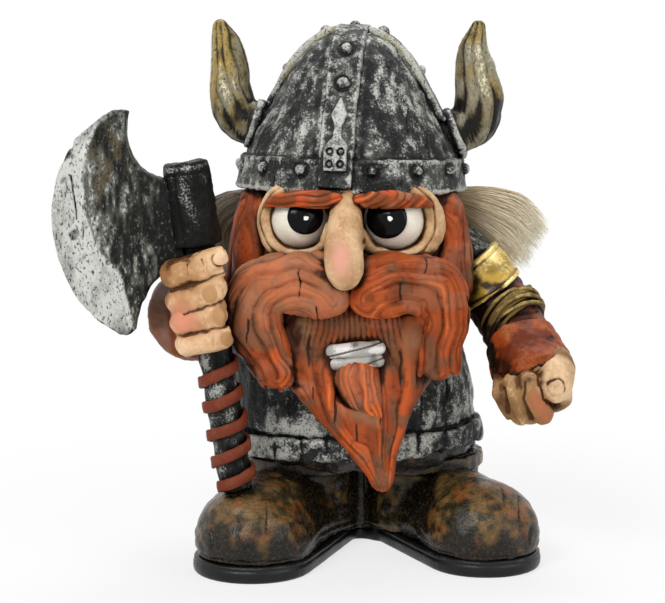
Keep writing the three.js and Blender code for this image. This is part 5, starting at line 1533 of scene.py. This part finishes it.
def build_hand_right():
    def form(points):
        fist = ball(points, from_haft(-3.6, -2.4, FIST_BOTTOM + 10.6), (6.8, 8.4, 13.4))
        thumb = haft_limb(points, [(-4, -8, FIST_BOTTOM + 12, 4.4), (1.6, -9, FIST_BOTTOM + 15, 3.8)])
        web = ball(points, from_haft(-1.6, 3.2, FIST_BOTTOM + 10.8), (7.6, 7.6, 13.5))
        fist = melt(melt(fist, thumb, 1.5), web, 1)
        for finger in FINGERS:
            fist = melt(fist, finger_distance(points, *finger), 0.8)
        return fist

    skin = sculpt("hand_right", form, FINE, 1.2, 0.5)
    points = skin.points
    x, y, along = on_haft(points)
    front = (y > 3).astype(float)
    gap, lines, pad = 0, 0, 0
    for (x0, low), (x1, high) in FINGER_GAPS:
        off = along - low - (high - low) / (x1 - x0) * (x - x0) - 0.2 * noise(points, 1.6, 284)
        gap = np.maximum(gap, groove(off, 0.5) * (x > x0) * (x < x1 + 1.5) * (y > 0))
    for place, low, high in FINGER_CREASES:
        inside = (along > low) & (along < high)
        lines = np.maximum(lines, 0.6 * groove(x - place - 0.3 * noise(points, 2, 282), 0.34) * inside * front)
    for place, middle, wide, tall in FINGER_PADS:
        pad = np.maximum(pad, step_up(1.15 - np.hypot((x - place) / wide, (along - middle) / tall), 0, 0.25) * front)
    nail = np.hypot((x - 6.3) / 2.15, (along - 63.6) / 2.0)
    ring = groove(nail - 1.06, 0.24) * front * (0.35 + 0.65 * step_up(5.6 - x + 64 - along, -1.5, 1.5))
    height = 0.14 * noise(points, 3, 280) + 0.09 * noise(points, 1.2, 281) + 0.25 * step_up(0.95 - nail, 0, 0.2) * front
    skin.raised(height - 0.3 * lines - 0.5 * ring - 0.4 * gap - 0.12 * pad)
    tint, wash_and_painted_shade, rub_and_painted_highlight = skin_paint(skin, 283, 0.05, "b5875a", "d2a67a")
    blush = spot(x + 6.2, along - 49, 3.6, 4.6) * front
    ragged = step_up(along - 65.2 - 0.22 * x + 1.2 * noise(points, 1.5, 285), -0.2, 0.6) * (x < 3.4)
    ragged = np.maximum(ragged, 0.8 * step_up(-x - 7.2 + 0.2 * (along - 60) + 0.6 * noise(points, 1.6, 286), 0, 1.4))
    tint = mixed(tint, "d98f72", np.clip(1.1 * blush, 0, 1))
    for code, share in (("b38658", 0.7 * pad), ("8d5c34", 0.9 * ragged), ("5a3a20", 0.85 * gap)):
        tint = mixed(tint, code, share)
    wash_and_painted_shade += 0.7 * lines + 1.0 * ring + 0.3 * gap + 0.3 * step_up(-y, -2, 6) + 0.3 * ragged - 0.4 * skin.shade()
    finish_piece("hand_right", skin, "skin", tint, wash_and_painted_shade, rub_and_painted_highlight * (1 - blush) - 0.4 * pad - ragged - gap)


LEFT_FINGERS = [  # radius, then knuckle, joints and tip
    (2.2, (39.8, -35, 52.6), (38.9, -41.6, 50.6), (38.7, -43, 47.2), (40.4, -42, 43.9)),
    (2.7, (42.8, -35, 53.8), (42.1, -43.8, 52), (42, -45.4, 47.8), (44, -44, 43.6)),
    (3.0, (46, -35, 54.8), (46.2, -45.4, 53), (46.9, -47, 48.4), (49.8, -45.4, 44.4)),
    (3.7, (53, -35, 52), (55.2, -40, 50.6), (55, -41.6, 48.6), (53.6, -40, 47.4)),
]
LEFT_THUMB = [[53.4, -33, 57.4, 4.4], [53.8, -41, 56.2, 4.9], [52.9, -45.6, 52, 4.8]]
LEFT_GAPS = [  # lines between the fingers, and half their width at both ends
    ((39.5, 51.4), (40.6, 44.4), 0.3, 0.6),
    ((44.6, 53.4), (44.2, 48.9), 0.3, 0.4),
    ((44.2, 48.9), (46.7, 43), 0.4, 0.8),
    ((48.6, 52.8), (49.6, 48.8), 0.25, 0.3),
    ((49.6, 48.8), (53, 46.2), 0.3, 0.35),
]


def beside_line(x, z, start, stop):
    """Distance from a short line on the front, and what share of it lies before a point."""
    run_x, run_z = stop[0] - start[0], stop[1] - start[1]
    off_x, off_z = x - start[0], z - start[1]
    share = np.clip((off_x * run_x + off_z * run_z) / (run_x**2 + run_z**2), 0, 1)
    return np.hypot(off_x - share * run_x, off_z - share * run_z), share


def build_hand_left():
    def form(points):
        fist = ball(points, (48.4, -36.2, 50.8), (8.4, 6.6, 7.8))
        fist = melt(fist, ball(points, (46.6, -42, 44.6), (4.6, 4.4, 3.6)), 1)
        for radius, *places in LEFT_FINGERS:
            fist = melt(fist, limb(points, [[*place, radius] for place in places], steps=2), 0.7)
        thumb = limit(limb(points, LEFT_THUMB), -points[:, 1] - 50.2 + 0.15 * (points[:, 2] - 52), 1.6)
        return melt(fist, thumb, 0.35)

    skin = sculpt("hand_left", form, FINE, 1.2, 0.5)
    points = skin.points
    x, y, z = points.T
    gap = 0
    for start, stop, near, far in LEFT_GAPS:
        off, share = beside_line(x, z, start, stop)
        gap = np.maximum(gap, step_up(1.2 - off / (near + (far - near) * share), 0, 0.8) * (y < -38))
    nail_x = (x - 52.8) * 0.94 + (z - 52) * 0.34
    nail_z = (z - 52) * 0.94 - (x - 52.8) * 0.34
    nail = (np.abs(nail_x / 2.2) ** 3 + np.abs(nail_z / 2.1) ** 3) ** (1 / 3)
    ring = groove(nail - 1.06, 0.22) * (y < -46) * (0.2 + 0.8 * step_up(nail_x + nail_z, -1.2, 0.8))
    crease = groove(z - 0.5 * x - 33.6 - 0.3 * noise(points, 3, 292), 0.4) * (y < -38) * (x > 50) * (z > 55)
    height = 0.14 * noise(points, 3, 290) + 0.08 * noise(points, 1.2, 291) + 0.2 * step_up(0.95 - nail, 0, 0.2) * (y < -46)
    skin.raised(height - 0.5 * ring - 0.25 * crease - 0.4 * gap)
    tint, wash_and_painted_shade, rub_and_painted_highlight = skin_paint(skin, 293, 0.16, "82603a", "a07a4e")
    thumb = step_up(7.4 - np.hypot(x - 54, z - 53.4), 0, 2) * (y < -44)
    near_pink, _ = beside_line(x, z, (47.2, 49.4), (50.8, 44.6))
    pink = step_up(4 - near_pink, 0, 3.4) * (y < -40) * (0.8 + 0.3 * noise(points, 2.5, 295))
    for code, share in (("c5a27a", 0.8 * thumb), ("b56a48", 0.8 * pink), ("2e1a0c", 0.85 * gap)):
        tint = mixed(tint, code, share)
    upper = step_up(z, 51.5, 54.5) * (x < 49)
    wash_and_painted_shade += 1.0 * ring + 0.4 * crease + 0.35 * step_up(41.5 - x, 0, 4) + 0.35 * upper * (0.5 + noise(points, 2, 294))
    wash_and_painted_shade += 0.3 * gap - 0.15 * thumb - 0.25 * skin.shade()
    finish_piece("hand_left", skin, "skin", tint, wash_and_painted_shade, (rub_and_painted_highlight - 0.2) * (1 - pink) + 0.35 * thumb - gap)


# Arms


ARM = spline([[28.5, -3, 84], [35.8, -10, 77.1], [43.2, -21, 65.8], [47.6, -31.6, 56]], 12)
ARM_STEPS = np.concatenate([[0], np.cumsum(np.linalg.norm(np.diff(ARM, axis=0), axis=1))])
ARM_LENGTH = ARM_STEPS[-1]
BAND_MIDDLE = 0.32 * ARM_LENGTH
BAND_WIDTH = 10.2
BAND_EDGE = np.array([33.4, 69.9], np.float32)  # where the armband's lower edge starts, seen from the front
BAND_SLANT = np.array([0.573, -0.819], np.float32)  # seen from the front, square to that edge
CUFF_START = 0.83 * ARM_LENGTH
CUFF_EDGE = np.array([43, 52.7], np.float32)  # the same of the cuff
CUFF_SLANT = np.array([0.417, -0.909], np.float32)


def arm_frame(run):
    """Unit vectors along the left arm, to its front and across it, where its axis runs along run."""
    axis = unit(run)
    forward = unit(TO_VIEWER + axis * axis[:, 1:2])
    return axis, forward, np.cross(forward, axis)


def arm_place(points):
    """How far along the left arm a point lies, in millimetres, its distance from the axis, and its turn round it."""
    index = np.clip(nearest_on(points, ARM), 1, len(ARM) - 2)
    axis, forward, across = arm_frame(ARM[index + 1] - ARM[index - 1])
    offset = points - ARM[index]
    ahead = (offset * axis).sum(axis=1)
    out = offset - ahead[:, None] * axis
    turn = np.arctan2((out * forward).sum(axis=1), (out * across).sum(axis=1))
    return ARM_STEPS[index] + ahead, np.linalg.norm(out, axis=1), turn


def below_edge(points, edge, slant):
    """Distance beyond an edge on the left arm, seen from the front."""
    return (points[:, (0, 2)] - edge) @ slant


def arm_stretch(points, low, high, radius):
    """A stretch of the left arm between two places along it."""
    along, off, _ = arm_place(points)
    return limit(off - radius, np.maximum(low - along, along - high), 0.6)


def build_armband():
    def form(points):
        _, off, _ = arm_place(points)
        up = -below_edge(points, BAND_EDGE, BAND_SLANT)
        rim = 0.4 * step_up(np.abs(up - BAND_WIDTH / 2), BAND_WIDTH / 2 - 1.3, BAND_WIDTH / 2 - 0.9)
        return limit(off - 9.8 - rim, np.maximum(-up, up - BAND_WIDTH), 0.6)

    skin = sculpt("armband_left", form, FINE, room=2)
    points = skin.points
    inset = BAND_WIDTH / 2 - np.abs(-below_edge(points, BAND_EDGE, BAND_SLANT) - BAND_WIDTH / 2)
    lines = np.maximum(groove(inset - 1.45, 0.5), 0.5 * groove(inset - 0.55, 0.3))
    skin.raised(0.12 * noise(points, 3, 300) - 0.25 * lines)
    shade = skin.shade()
    darkness = spot(points[:, 0] - 37.6, points[:, 2] - 76.6, 3.4, 2.8) * (points[:, 1] < -12)
    darkness = darkness * (0.8 + 0.4 * noise(points, 2, 301))
    tint = between("bf9a42", "947a30", step_up(noise(points, 4, 302), -0.3, 0.6))
    # the rub along the crest of both rims is a painted highlight
    rub_and_painted_highlight = 0.6 + 0.3 * noise(points, 4.5, 303) - 0.4 * shade - 0.4 * lines - 0.9 * darkness + 0.4 * groove(inset - 0.5, 0.5)
    finish_piece("armband_left", skin, "gold", tint, 0.9 * darkness + 0.6 * shade + 0.6 * lines, rub_and_painted_highlight)


def shaded_underside(points):
    """1 along the side of the left arm that faces down and to the body, where painted shade makes it nearly black."""
    return step_up(np.cos(arm_place(points)[2] - 3.0), 0.3, 1.0)


def sleeve_paint(skin, seed, light, deep):
    """Tint, wash and rub of a painted sleeve, with painted shade where neighbours crowd."""
    shade = skin.shade()
    tone = fractal(skin.still, 6, seed, 3)
    tint = between(deep, light, step_up(tone, -0.5, 0.5))
    wash_and_painted_shade = 0.15 + 1.0 * shade + 0.3 * skin.hollow - 0.9 * skin.relief - 0.2 * tone
    return tint, wash_and_painted_shade, 0.22 + 0.3 * tone - 0.6 * shade + 0.4 * skin.relief


def build_forearm():
    def form(points):
        return arm_stretch(points, BAND_MIDDLE, ARM_LENGTH * 0.9, 8.85)

    skin = sculpt("forearm_left", form, MEDIUM, 0.8)
    points = skin.points
    ring = strands(arm_place(points)[0] / 3.4 + 0.35 * noise(points, 6, 310) + 10, 311)
    skin.raised(0.4 * ring + 0.2 * noise(points, 2, 312) + 0.1)
    tint, wash_and_painted_shade, rub_and_painted_highlight = sleeve_paint(skin, 313, "632f16", "38180a")
    # painted shade on the side that faces down and to the body
    inner = shaded_underside(points)
    below = below_edge(points, BAND_EDGE, BAND_SLANT)
    folds = groove(below - 0.5, 0.9) + groove(below - 4.6 - 0.4 * noise(points, 3, 314), 0.8)
    wash_and_painted_shade += -0.3 * (ring + 0.3) + 0.9 * inner + 0.6 * folds - 0.1
    finish_piece("forearm_left", skin, "sleeve", tint, wash_and_painted_shade, rub_and_painted_highlight - 0.6 * inner - 0.3 * folds)


def build_cuff():
    def past_edge(points):
        """Distance beyond the cuff's ragged edge."""
        ragged = 0.9 * noise(points, 3.2, 320) + 0.4 * noise(points, 1.3, 325)
        return below_edge(points, CUFF_EDGE, CUFF_SLANT) - ragged

    def form(points):
        along, off, _ = arm_place(points)
        body = off - 10 - 0.1 * (along - CUFF_START)
        return limit(body, np.maximum(CUFF_START - along, past_edge(points)), 0.6)

    skin = sculpt("cuff_left", form, MEDIUM, room=4)
    points = skin.points
    skin.raised(0.3 * noise(points, 4, 321) + 0.15 * noise(points, 1.6, 322))
    tint, wash_and_painted_shade, rub_and_painted_highlight = sleeve_paint(skin, 323, "9a4319", "65280f")
    # painted shade on the side that faces down and to the body
    inner = shaded_underside(points)
    past = past_edge(points)
    hem = step_up(past, -1.4, -0.8) * (1 - inner)
    wash_and_painted_shade += 0.8 * inner - 0.1 + 0.3 * groove(past + 1.6, 0.5) + 0.35 * noise(points, 4, 326)
    wash_and_painted_shade += (-0.1 + 0.3 * noise(points, 1.5, 327) - wash_and_painted_shade) * hem
    finish_piece("cuff_left", skin, "sleeve", mixed(tint, "ad875c", hem), wash_and_painted_shade, rub_and_painted_highlight + 0.05 - 0.6 * inner - 0.3 * hem)


def build_upper_sleeve():
    skin = sculpt("upper_sleeve_left", lambda points: arm_stretch(points, -3, BAND_MIDDLE, 8.7), COARSE, 0.8)
    skin.raised(hammered(skin.points, 330))
    finish_piece("upper_sleeve_left", skin, "armour", *armour_paint(skin, 330, 0.36))


SLEEVE_RIGHT = [[-27, -3, 78, 8.2], [-29, -4, 77, 8.6], [-40.5, -8, 67, 10.4], [-43.8, -18, 66.4, 12],
                [-44, -29, 69.4, 12.6]]


def build_sleeve_right():
    skin = sculpt("sleeve_right", lambda points: limb(points, SLEEVE_RIGHT, steps=4), COARSE, 0.7)
    points = skin.points
    index = nearest_on(points, spline(SLEEVE_RIGHT, 6))
    ring = strands(index / 3.2 + 0.6 * noise(points, 7, 340) + 10, 341)
    skin.raised(0.5 * ring + 0.2 * noise(points, 2, 342) + 0.2)
    tint, wash_and_painted_shade, rub_and_painted_highlight = sleeve_paint(skin, 343, "b08a78", "84604f")
    x, _, along = on_haft(points)
    tint = mixed(tint, "8f8b92", 0.6 * step_up(along, 50, 58))
    slot = step_up(x, -13.2, -11.6) * step_up(52 - along, 0, 4)  # beside the haft
    tint = mixed(tint, "7e3d18", slot)
    finish_piece("sleeve_right", skin, "sleeve", tint, wash_and_painted_shade - 0.35 - 0.25 * (ring + 0.3), rub_and_painted_highlight + 0.15 - 0.4 * slot)


def arm_path(start, stop, turns, phase, lift, steps, tilt=0.0):
    """Points of a strand wound on the forearm, from start to stop along the arm, with its frame. A tilt draws its
    turns up the arm on the outer side and down on the inner one."""
    share = np.arange(steps + 1) / steps
    turn = phase + turns * 2 * math.pi * share
    along = start + (stop - start) * share - tilt * np.cos(turn)
    centre, ahead, behind = (
        np.stack([np.interp(along + step, ARM_STEPS, ARM[:, k]) for k in range(3)], axis=1) for step in (0, 0.5, -0.5)
    )
    axis, forward, across = arm_frame(ahead - behind)
    outward = across * np.cos(turn)[:, None] + forward * np.sin(turn)[:, None]
    reach = lift - 1.3 * np.maximum(0.0, -np.cos(turn))
    return centre + outward * reach[:, None], outward, axis


def build_cord_wrap():
    middle = 0.68 * ARM_LENGTH
    winding = arm_path(middle - 1.6, middle + 5.6, 3, -math.pi / 2, 9.6, 120, 3.8)
    points, faces = ribbon(*winding, 1.2, 1.1)
    pieces = [(-6.2 + 0.9 * k, 4 + 1.2 * k, 0.42, 0.12 + 0.08 * k, 10.1, 30) for k in range(3)]  # a slanting bundle
    pieces += [(0.4 - 2.2 * k, 3.6 - 1.6 * k, 0.26, 0.15 + 0.4 * k, 10.4, 18) for k in range(3)]
    pieces += [(-4 + 2.6 * k, -3.2 + 2.6 * k, 0.3, -0.7, 10.5, 18) for k in range(2)]  # loops on the outer side
    for start, stop, *rest, steps in pieces:
        taper = np.sin(np.linspace(0.25, math.pi - 0.25, steps + 1)) ** 0.4
        more_points, more_faces = ribbon(*arm_path(middle + start, middle + stop, *rest, steps), 1.1, 1.1, taper)
        faces = np.vstack([faces, more_faces + len(points)])
        points = np.vstack([points, more_points])
    points += 0.1 * np.stack([noise(points, 1.6, 350 + k) for k in range(3)], axis=1)
    off = arm_place(points)[1]
    wash_and_painted_shade = 0.9 * step_up(10.2 - off, 0, 0.9) + 0.3 * noise(points, 2, 353) + 0.12
    rub_and_painted_highlight = 0.02 + 0.5 * step_up(off, 10.1, 11) + 0.2 * noise(points, 1.4, 354)
    layers = {"tint": linear("6a5429"), "wash_and_painted_shade": wash_and_painted_shade, "rub_and_painted_highlight": rub_and_painted_highlight}
    mesh_object("cord_wrap_left", points, faces, "cord", layers, "cord_wrap_left")


# Real hair: a solid core and loose strands over it


TUFTS = {
    "hair_left": {
        "stations": [[28, 1, 98.6, 3.6], [36, 0.5, 96.2, 6.2], [44.5, 0, 92.2, 8.2], [50.5, 0, 86.6, 8.2]],
        "count": 3200, "root": "a58d5e", "tip": "fff4dc", "length": 1.02, "flat": 0.75,
    },
    "hair_right": {
        "stations": [[-26, 2, 99, 3.4], [-32.5, 1.2, 97.6, 4.6], [-38, 1, 94, 5.2], [-39.6, 2, 88.8, 4.8],
                     [-38.4, 2.4, 83.6, 3.6]],
        "count": 1500, "root": "4a3825", "tip": "a3947a", "length": 1.0, "flat": 0.8,
    },
}


def strand_mesh(name, paths, tints, width):
    """Tapered three-sided strands along paths, an array of [strand, step, xyz], in place of the node of that name."""
    count, steps, _ = paths.shape
    along = np.gradient(paths, axis=1)
    along /= np.maximum(np.linalg.norm(along, axis=2, keepdims=True), 1e-6)
    side = unit(np.cross(along, np.array([0.3, 0.8, 0.5])))
    other = np.cross(along, side)
    taper = (1 - np.linspace(0, 1, steps) ** 2 * 0.85)[None, :, None] * width / 2
    angles = [k * 2 * math.pi / 3 for k in range(3)]
    rings = [paths + (side * math.cos(angle) + other * math.sin(angle)) * taper for angle in angles]
    points = np.stack(rings, axis=2).reshape(-1, 3)
    ring = (np.arange(count) * steps * 3)[:, None, None] + (np.arange(steps - 1) * 3)[None, :, None]
    corner = ring + np.arange(3)
    following = ring + (np.arange(3) + 1) % 3
    faces = np.stack([corner, following, following + 3, corner + 3], axis=-1).reshape(-1, 4)
    layers = {"tint": np.repeat(tints.reshape(-1, 3), 3, axis=0)}
    mesh_object(name + "_strands", points, faces, "fur", layers, name)


def finish_core(name, core, ridge, tint):
    """The solid core of a tuft, darker between its ridges."""
    layers = {"tint": tint * (0.75 + 0.3 * (ridge[:, None] + 0.5))}
    mesh_object(name + "_core", core.points, core.quads, "fur", layers)


def build_tuft(name):
    """Strands in clumps round a path, from the helmet's rim to ragged ends."""
    tuft = TUFTS[name]
    rng = np.random.default_rng(400 + len(name))
    path = spline(tuft["stations"], 6)
    share = np.linspace(0, 1, len(path))
    count, clump_count, steps = tuft["count"], 46, 9
    clumps = rng.integers(0, clump_count, count)
    clump_angle = rng.random(clump_count) * 2 * math.pi
    clump_reach = np.sqrt(rng.random(clump_count))
    angle = clump_angle[clumps] + rng.normal(0, 0.25, count)
    reach = np.clip(clump_reach[clumps] + rng.normal(0, 0.09, count), 0, 1.04)
    length = tuft["length"] * (0.82 + 0.2 * rng.random(clump_count)[clumps] + 0.07 * rng.normal(size=count))
    along = np.linspace(0, 1, steps)[None, :] * np.clip(length, 0.6, 1.12)[:, None]
    centre = np.stack([np.interp(along, share, path[:, k]) for k in range(3)], axis=-1)
    over = np.clip(along - 1, 0, 1)[..., None] * 30 * unit(path[-1, :3] - path[-3, :3])
    side = unit(np.cross(unit(path[-1, :3] - path[0, :3]), [0, 1, 0]))
    wave = 0.5 * np.sin(along * 7 + rng.random(count)[:, None] * 6.3) * along
    spread = reach[:, None] * np.interp(along, share, path[:, 3])
    aside = side * (spread * np.cos(angle)[:, None] + wave)[..., None]
    behind = -TO_VIEWER * (tuft["flat"] * spread * np.sin(angle)[:, None])[..., None]
    paths = centre + over + aside + behind
    paths[..., 2] -= 0.4 * along**3
    tone = np.clip(along**1.2 + 0.12 * rng.normal(size=count)[:, None], 0, 1)
    tints = between(tuft["root"], tuft["tip"], tone) * (0.85 + 0.3 * rng.random(count))[:, None, None]
    strand_mesh(name, paths, tints, 0.3)


def build_tuft_core(name):
    tuft = TUFTS[name]
    inside = np.array(tuft["stations"]) * (1, 1, 1, 0.8)
    inside[-1] = 0.5 * (inside[-1] + inside[-2])  # the core stops short of the wisps
    inside[-1, 3] *= 0.8
    core = sculpt(name, lambda points: limb(points, inside, tuft["flat"]), COARSE)
    route = [[x, z] for x, _, z, _ in tuft["stations"]]
    along, aside = beside_path(core.points[:, 0], core.points[:, 2], spline(route, 6))
    ridge = strands((aside + 0.6 * noise(core.points, 6, 360)) / 0.9 + 60, 361)
    core.raised(0.4 * ridge)
    finish_core(name, core, ridge, between(tuft["root"], tuft["tip"], np.clip(along / along.max(), 0, 1)))


FRINGE_TOP = 101


def build_back_fringe():
    """Strands that hang in an arc behind the head, from the helmet's rim to the shoulders."""
    rng = np.random.default_rng(410)
    count, clump_count, steps = 3600, 80, 8
    clumps = rng.integers(0, clump_count, count)
    turn = np.radians(-66 + 132 * rng.random(clump_count))[clumps] + rng.normal(0, 0.035, count)
    depth = rng.random(count)[:, None]
    length = 21 + 3 * rng.random(clump_count)[clumps] + rng.normal(0, 0.8, count)
    length = (length * (1 - 0.25 * np.abs(turn) / 1.15))[:, None]
    along = np.linspace(0, 1, steps)[None, :]
    swell = 26.2 + 1.2 * depth + (2.6 + 2.0 * depth) * np.sin(along * math.pi * 0.62)
    bend = turn[:, None] + 0.03 * np.sin(along * 6 + 6.3 * rng.random(count)[:, None])
    paths = np.stack([-0.5 + swell * np.sin(bend), -6 + swell * np.cos(bend), FRINGE_TOP - length * along], axis=-1)
    tone = np.clip(along**1.1 + 0.15 * rng.normal(size=count)[:, None], 0, 1)
    tints = between("6c5a3c", "cfc2a6", tone) * (0.8 + 0.35 * rng.random(count))[:, None, None]
    strand_mesh("hair_back", paths, tints, 0.34)


def build_back_core():
    core = sculpt("hair_back", node_form("hair_back", 1.2, -0.6), COARSE)
    ridge = strands(np.arctan2(core.points[:, 0], core.points[:, 1] + 6) * 30 + 60, 411)
    core.raised(0.35 * ridge)
    down = np.clip((FRINGE_TOP - core.points[:, 2]) / 24, 0, 1)
    finish_core("hair_back", core, ridge, between("6c5a3c", "b9ab8c", down))


# Stage


WHITE = (1, 1, 1, 1)
WORLD_LIGHT = 0.33
FLOOR_HALF = 1.6  # metres
FOCAL_LENGTH, PHOTO_WIDTH = 1761, 665  # pixels of the photograph, worked out from the ellipses of sole and helmet
CAMERA_PLACE = (-0.006, -0.506, 0.130)
CAMERA_DIP = 6.89  # degrees below level


def placed(name, data):
    """A new object in the scene."""
    thing = bpy.data.objects.new(name, data)
    bpy.context.scene.collection.objects.link(thing)
    return thing


def seen_directly(tree):
    """1 for the rays of the camera and of mirror images, 0 for all that light something."""
    rays = add_node(tree, "LightPath", {}).outputs
    seen = rays["Is Camera Ray"]
    for kind in ("Is Glossy Ray", "Is Transmission Ray"):
        seen = math_node(tree, "MAXIMUM", seen, rays[kind])
    return seen


def build_floor():
    """A white floor that keeps the figure's shadow and goes over into a plain white background."""
    material, tree, shader = new_material("floor_paper")
    shader["Base Color"].default_value = (0.9, 0.9, 0.9, 1)
    shader["Roughness"].default_value = 0.8
    shader["Specular IOR Level"].default_value = 0.1
    place = add_node(tree, "TexCoord", {}).outputs["Object"]
    away = add_node(tree, "VectorMath", {0: place}, operation="LENGTH").outputs["Value"]
    share = math_node(tree, "MULTIPLY", ramp(tree, away, 0.06, 0.2, 0.72, 1.0), seen_directly(tree))
    glow = add_node(tree, "Emission", {"Color": WHITE}).outputs["Emission"]
    paper = tree.nodes["Principled BSDF"].outputs["BSDF"]
    surface = add_node(tree, "MixShader", {"Fac": share, 1: paper, 2: glow}).outputs["Shader"]
    tree.links.new(surface, tree.nodes["Material Output"].inputs["Surface"])

    mesh = bpy.data.meshes.new("floor")
    corners = [(x * FLOOR_HALF, y * FLOOR_HALF, 0) for x, y in ((-1, -1), (1, -1), (1, 1), (-1, 1))]
    mesh.from_pydata(corners, [], [(0, 1, 2, 3)])
    mesh.materials.append(material)
    placed("floor", mesh)


def build_world():
    world = bpy.data.worlds.new("studio")
    world.use_nodes = True
    bpy.context.scene.world = world
    tree = world.node_tree
    background = tree.nodes["Background"].inputs
    background["Color"].default_value = WHITE
    ends = {"Value": seen_directly(tree), "To Min": WORLD_LIGHT, "To Max": 1.0}
    tree.links.new(add_node(tree, "MapRange", ends).outputs["Result"], background["Strength"])


def build_lamp(name, place, target_height, width, height, power):
    lamp = bpy.data.lights.new(name, "AREA")
    lamp.shape = "RECTANGLE"
    lamp.size = width
    lamp.size_y = height
    lamp.energy = power
    thing = placed(name, lamp)
    thing.location = place
    aim = Vector((0, 0, target_height)) - Vector(place)
    thing.rotation_euler = aim.to_track_quat("-Z", "Y").to_euler()


def build_camera():
    """The photograph's camera."""
    data = bpy.data.cameras.new("camera")
    data.sensor_width = 36
    data.lens = FOCAL_LENGTH * data.sensor_width / PHOTO_WIDTH
    data.clip_start = 0.01
    camera = placed("camera", data)
    camera.location = CAMERA_PLACE
    camera.rotation_euler = (math.radians(90 - CAMERA_DIP), 0, 0)
    bpy.context.scene.camera = camera
    bpy.context.scene.view_settings.view_transform = "Standard"


build_floor()
build_world()
build_lamp("key", (-0.35, -0.65, 0.62), 0.07, 0.35, 0.35, 4.5)
build_lamp("fill", (0.6, -0.5, 0.35), 0.07, 0.4, 0.4, 1.3)
build_lamp("top", (0.05, 0.25, 0.75), 0.08, 0.5, 0.4, 2.8)
build_camera()

for build in (
    build_dome, build_band, build_crest, build_ornament, build_head, build_nose, build_beard, build_lip_tuft,
    build_teeth, build_tunic, build_belt, build_trousers, build_sole, build_haft, build_socket, build_blade,
    build_grip_wrap, build_hand_right, build_hand_left, build_armband, build_forearm, build_cuff,
    build_upper_sleeve, build_sleeve_right, build_cord_wrap, build_back_fringe, build_back_core,
):
    build()
for side in ("right", "left"):
    for build in (
        build_side_strap, build_horn, build_collar, build_eyeball, build_pupil, build_lid, build_brow,
        build_moustache, build_boot, build_boot_cuff,
    ):
        build(side)
for name in TUFTS:
    build_tuft(name)
    build_tuft_core(name)
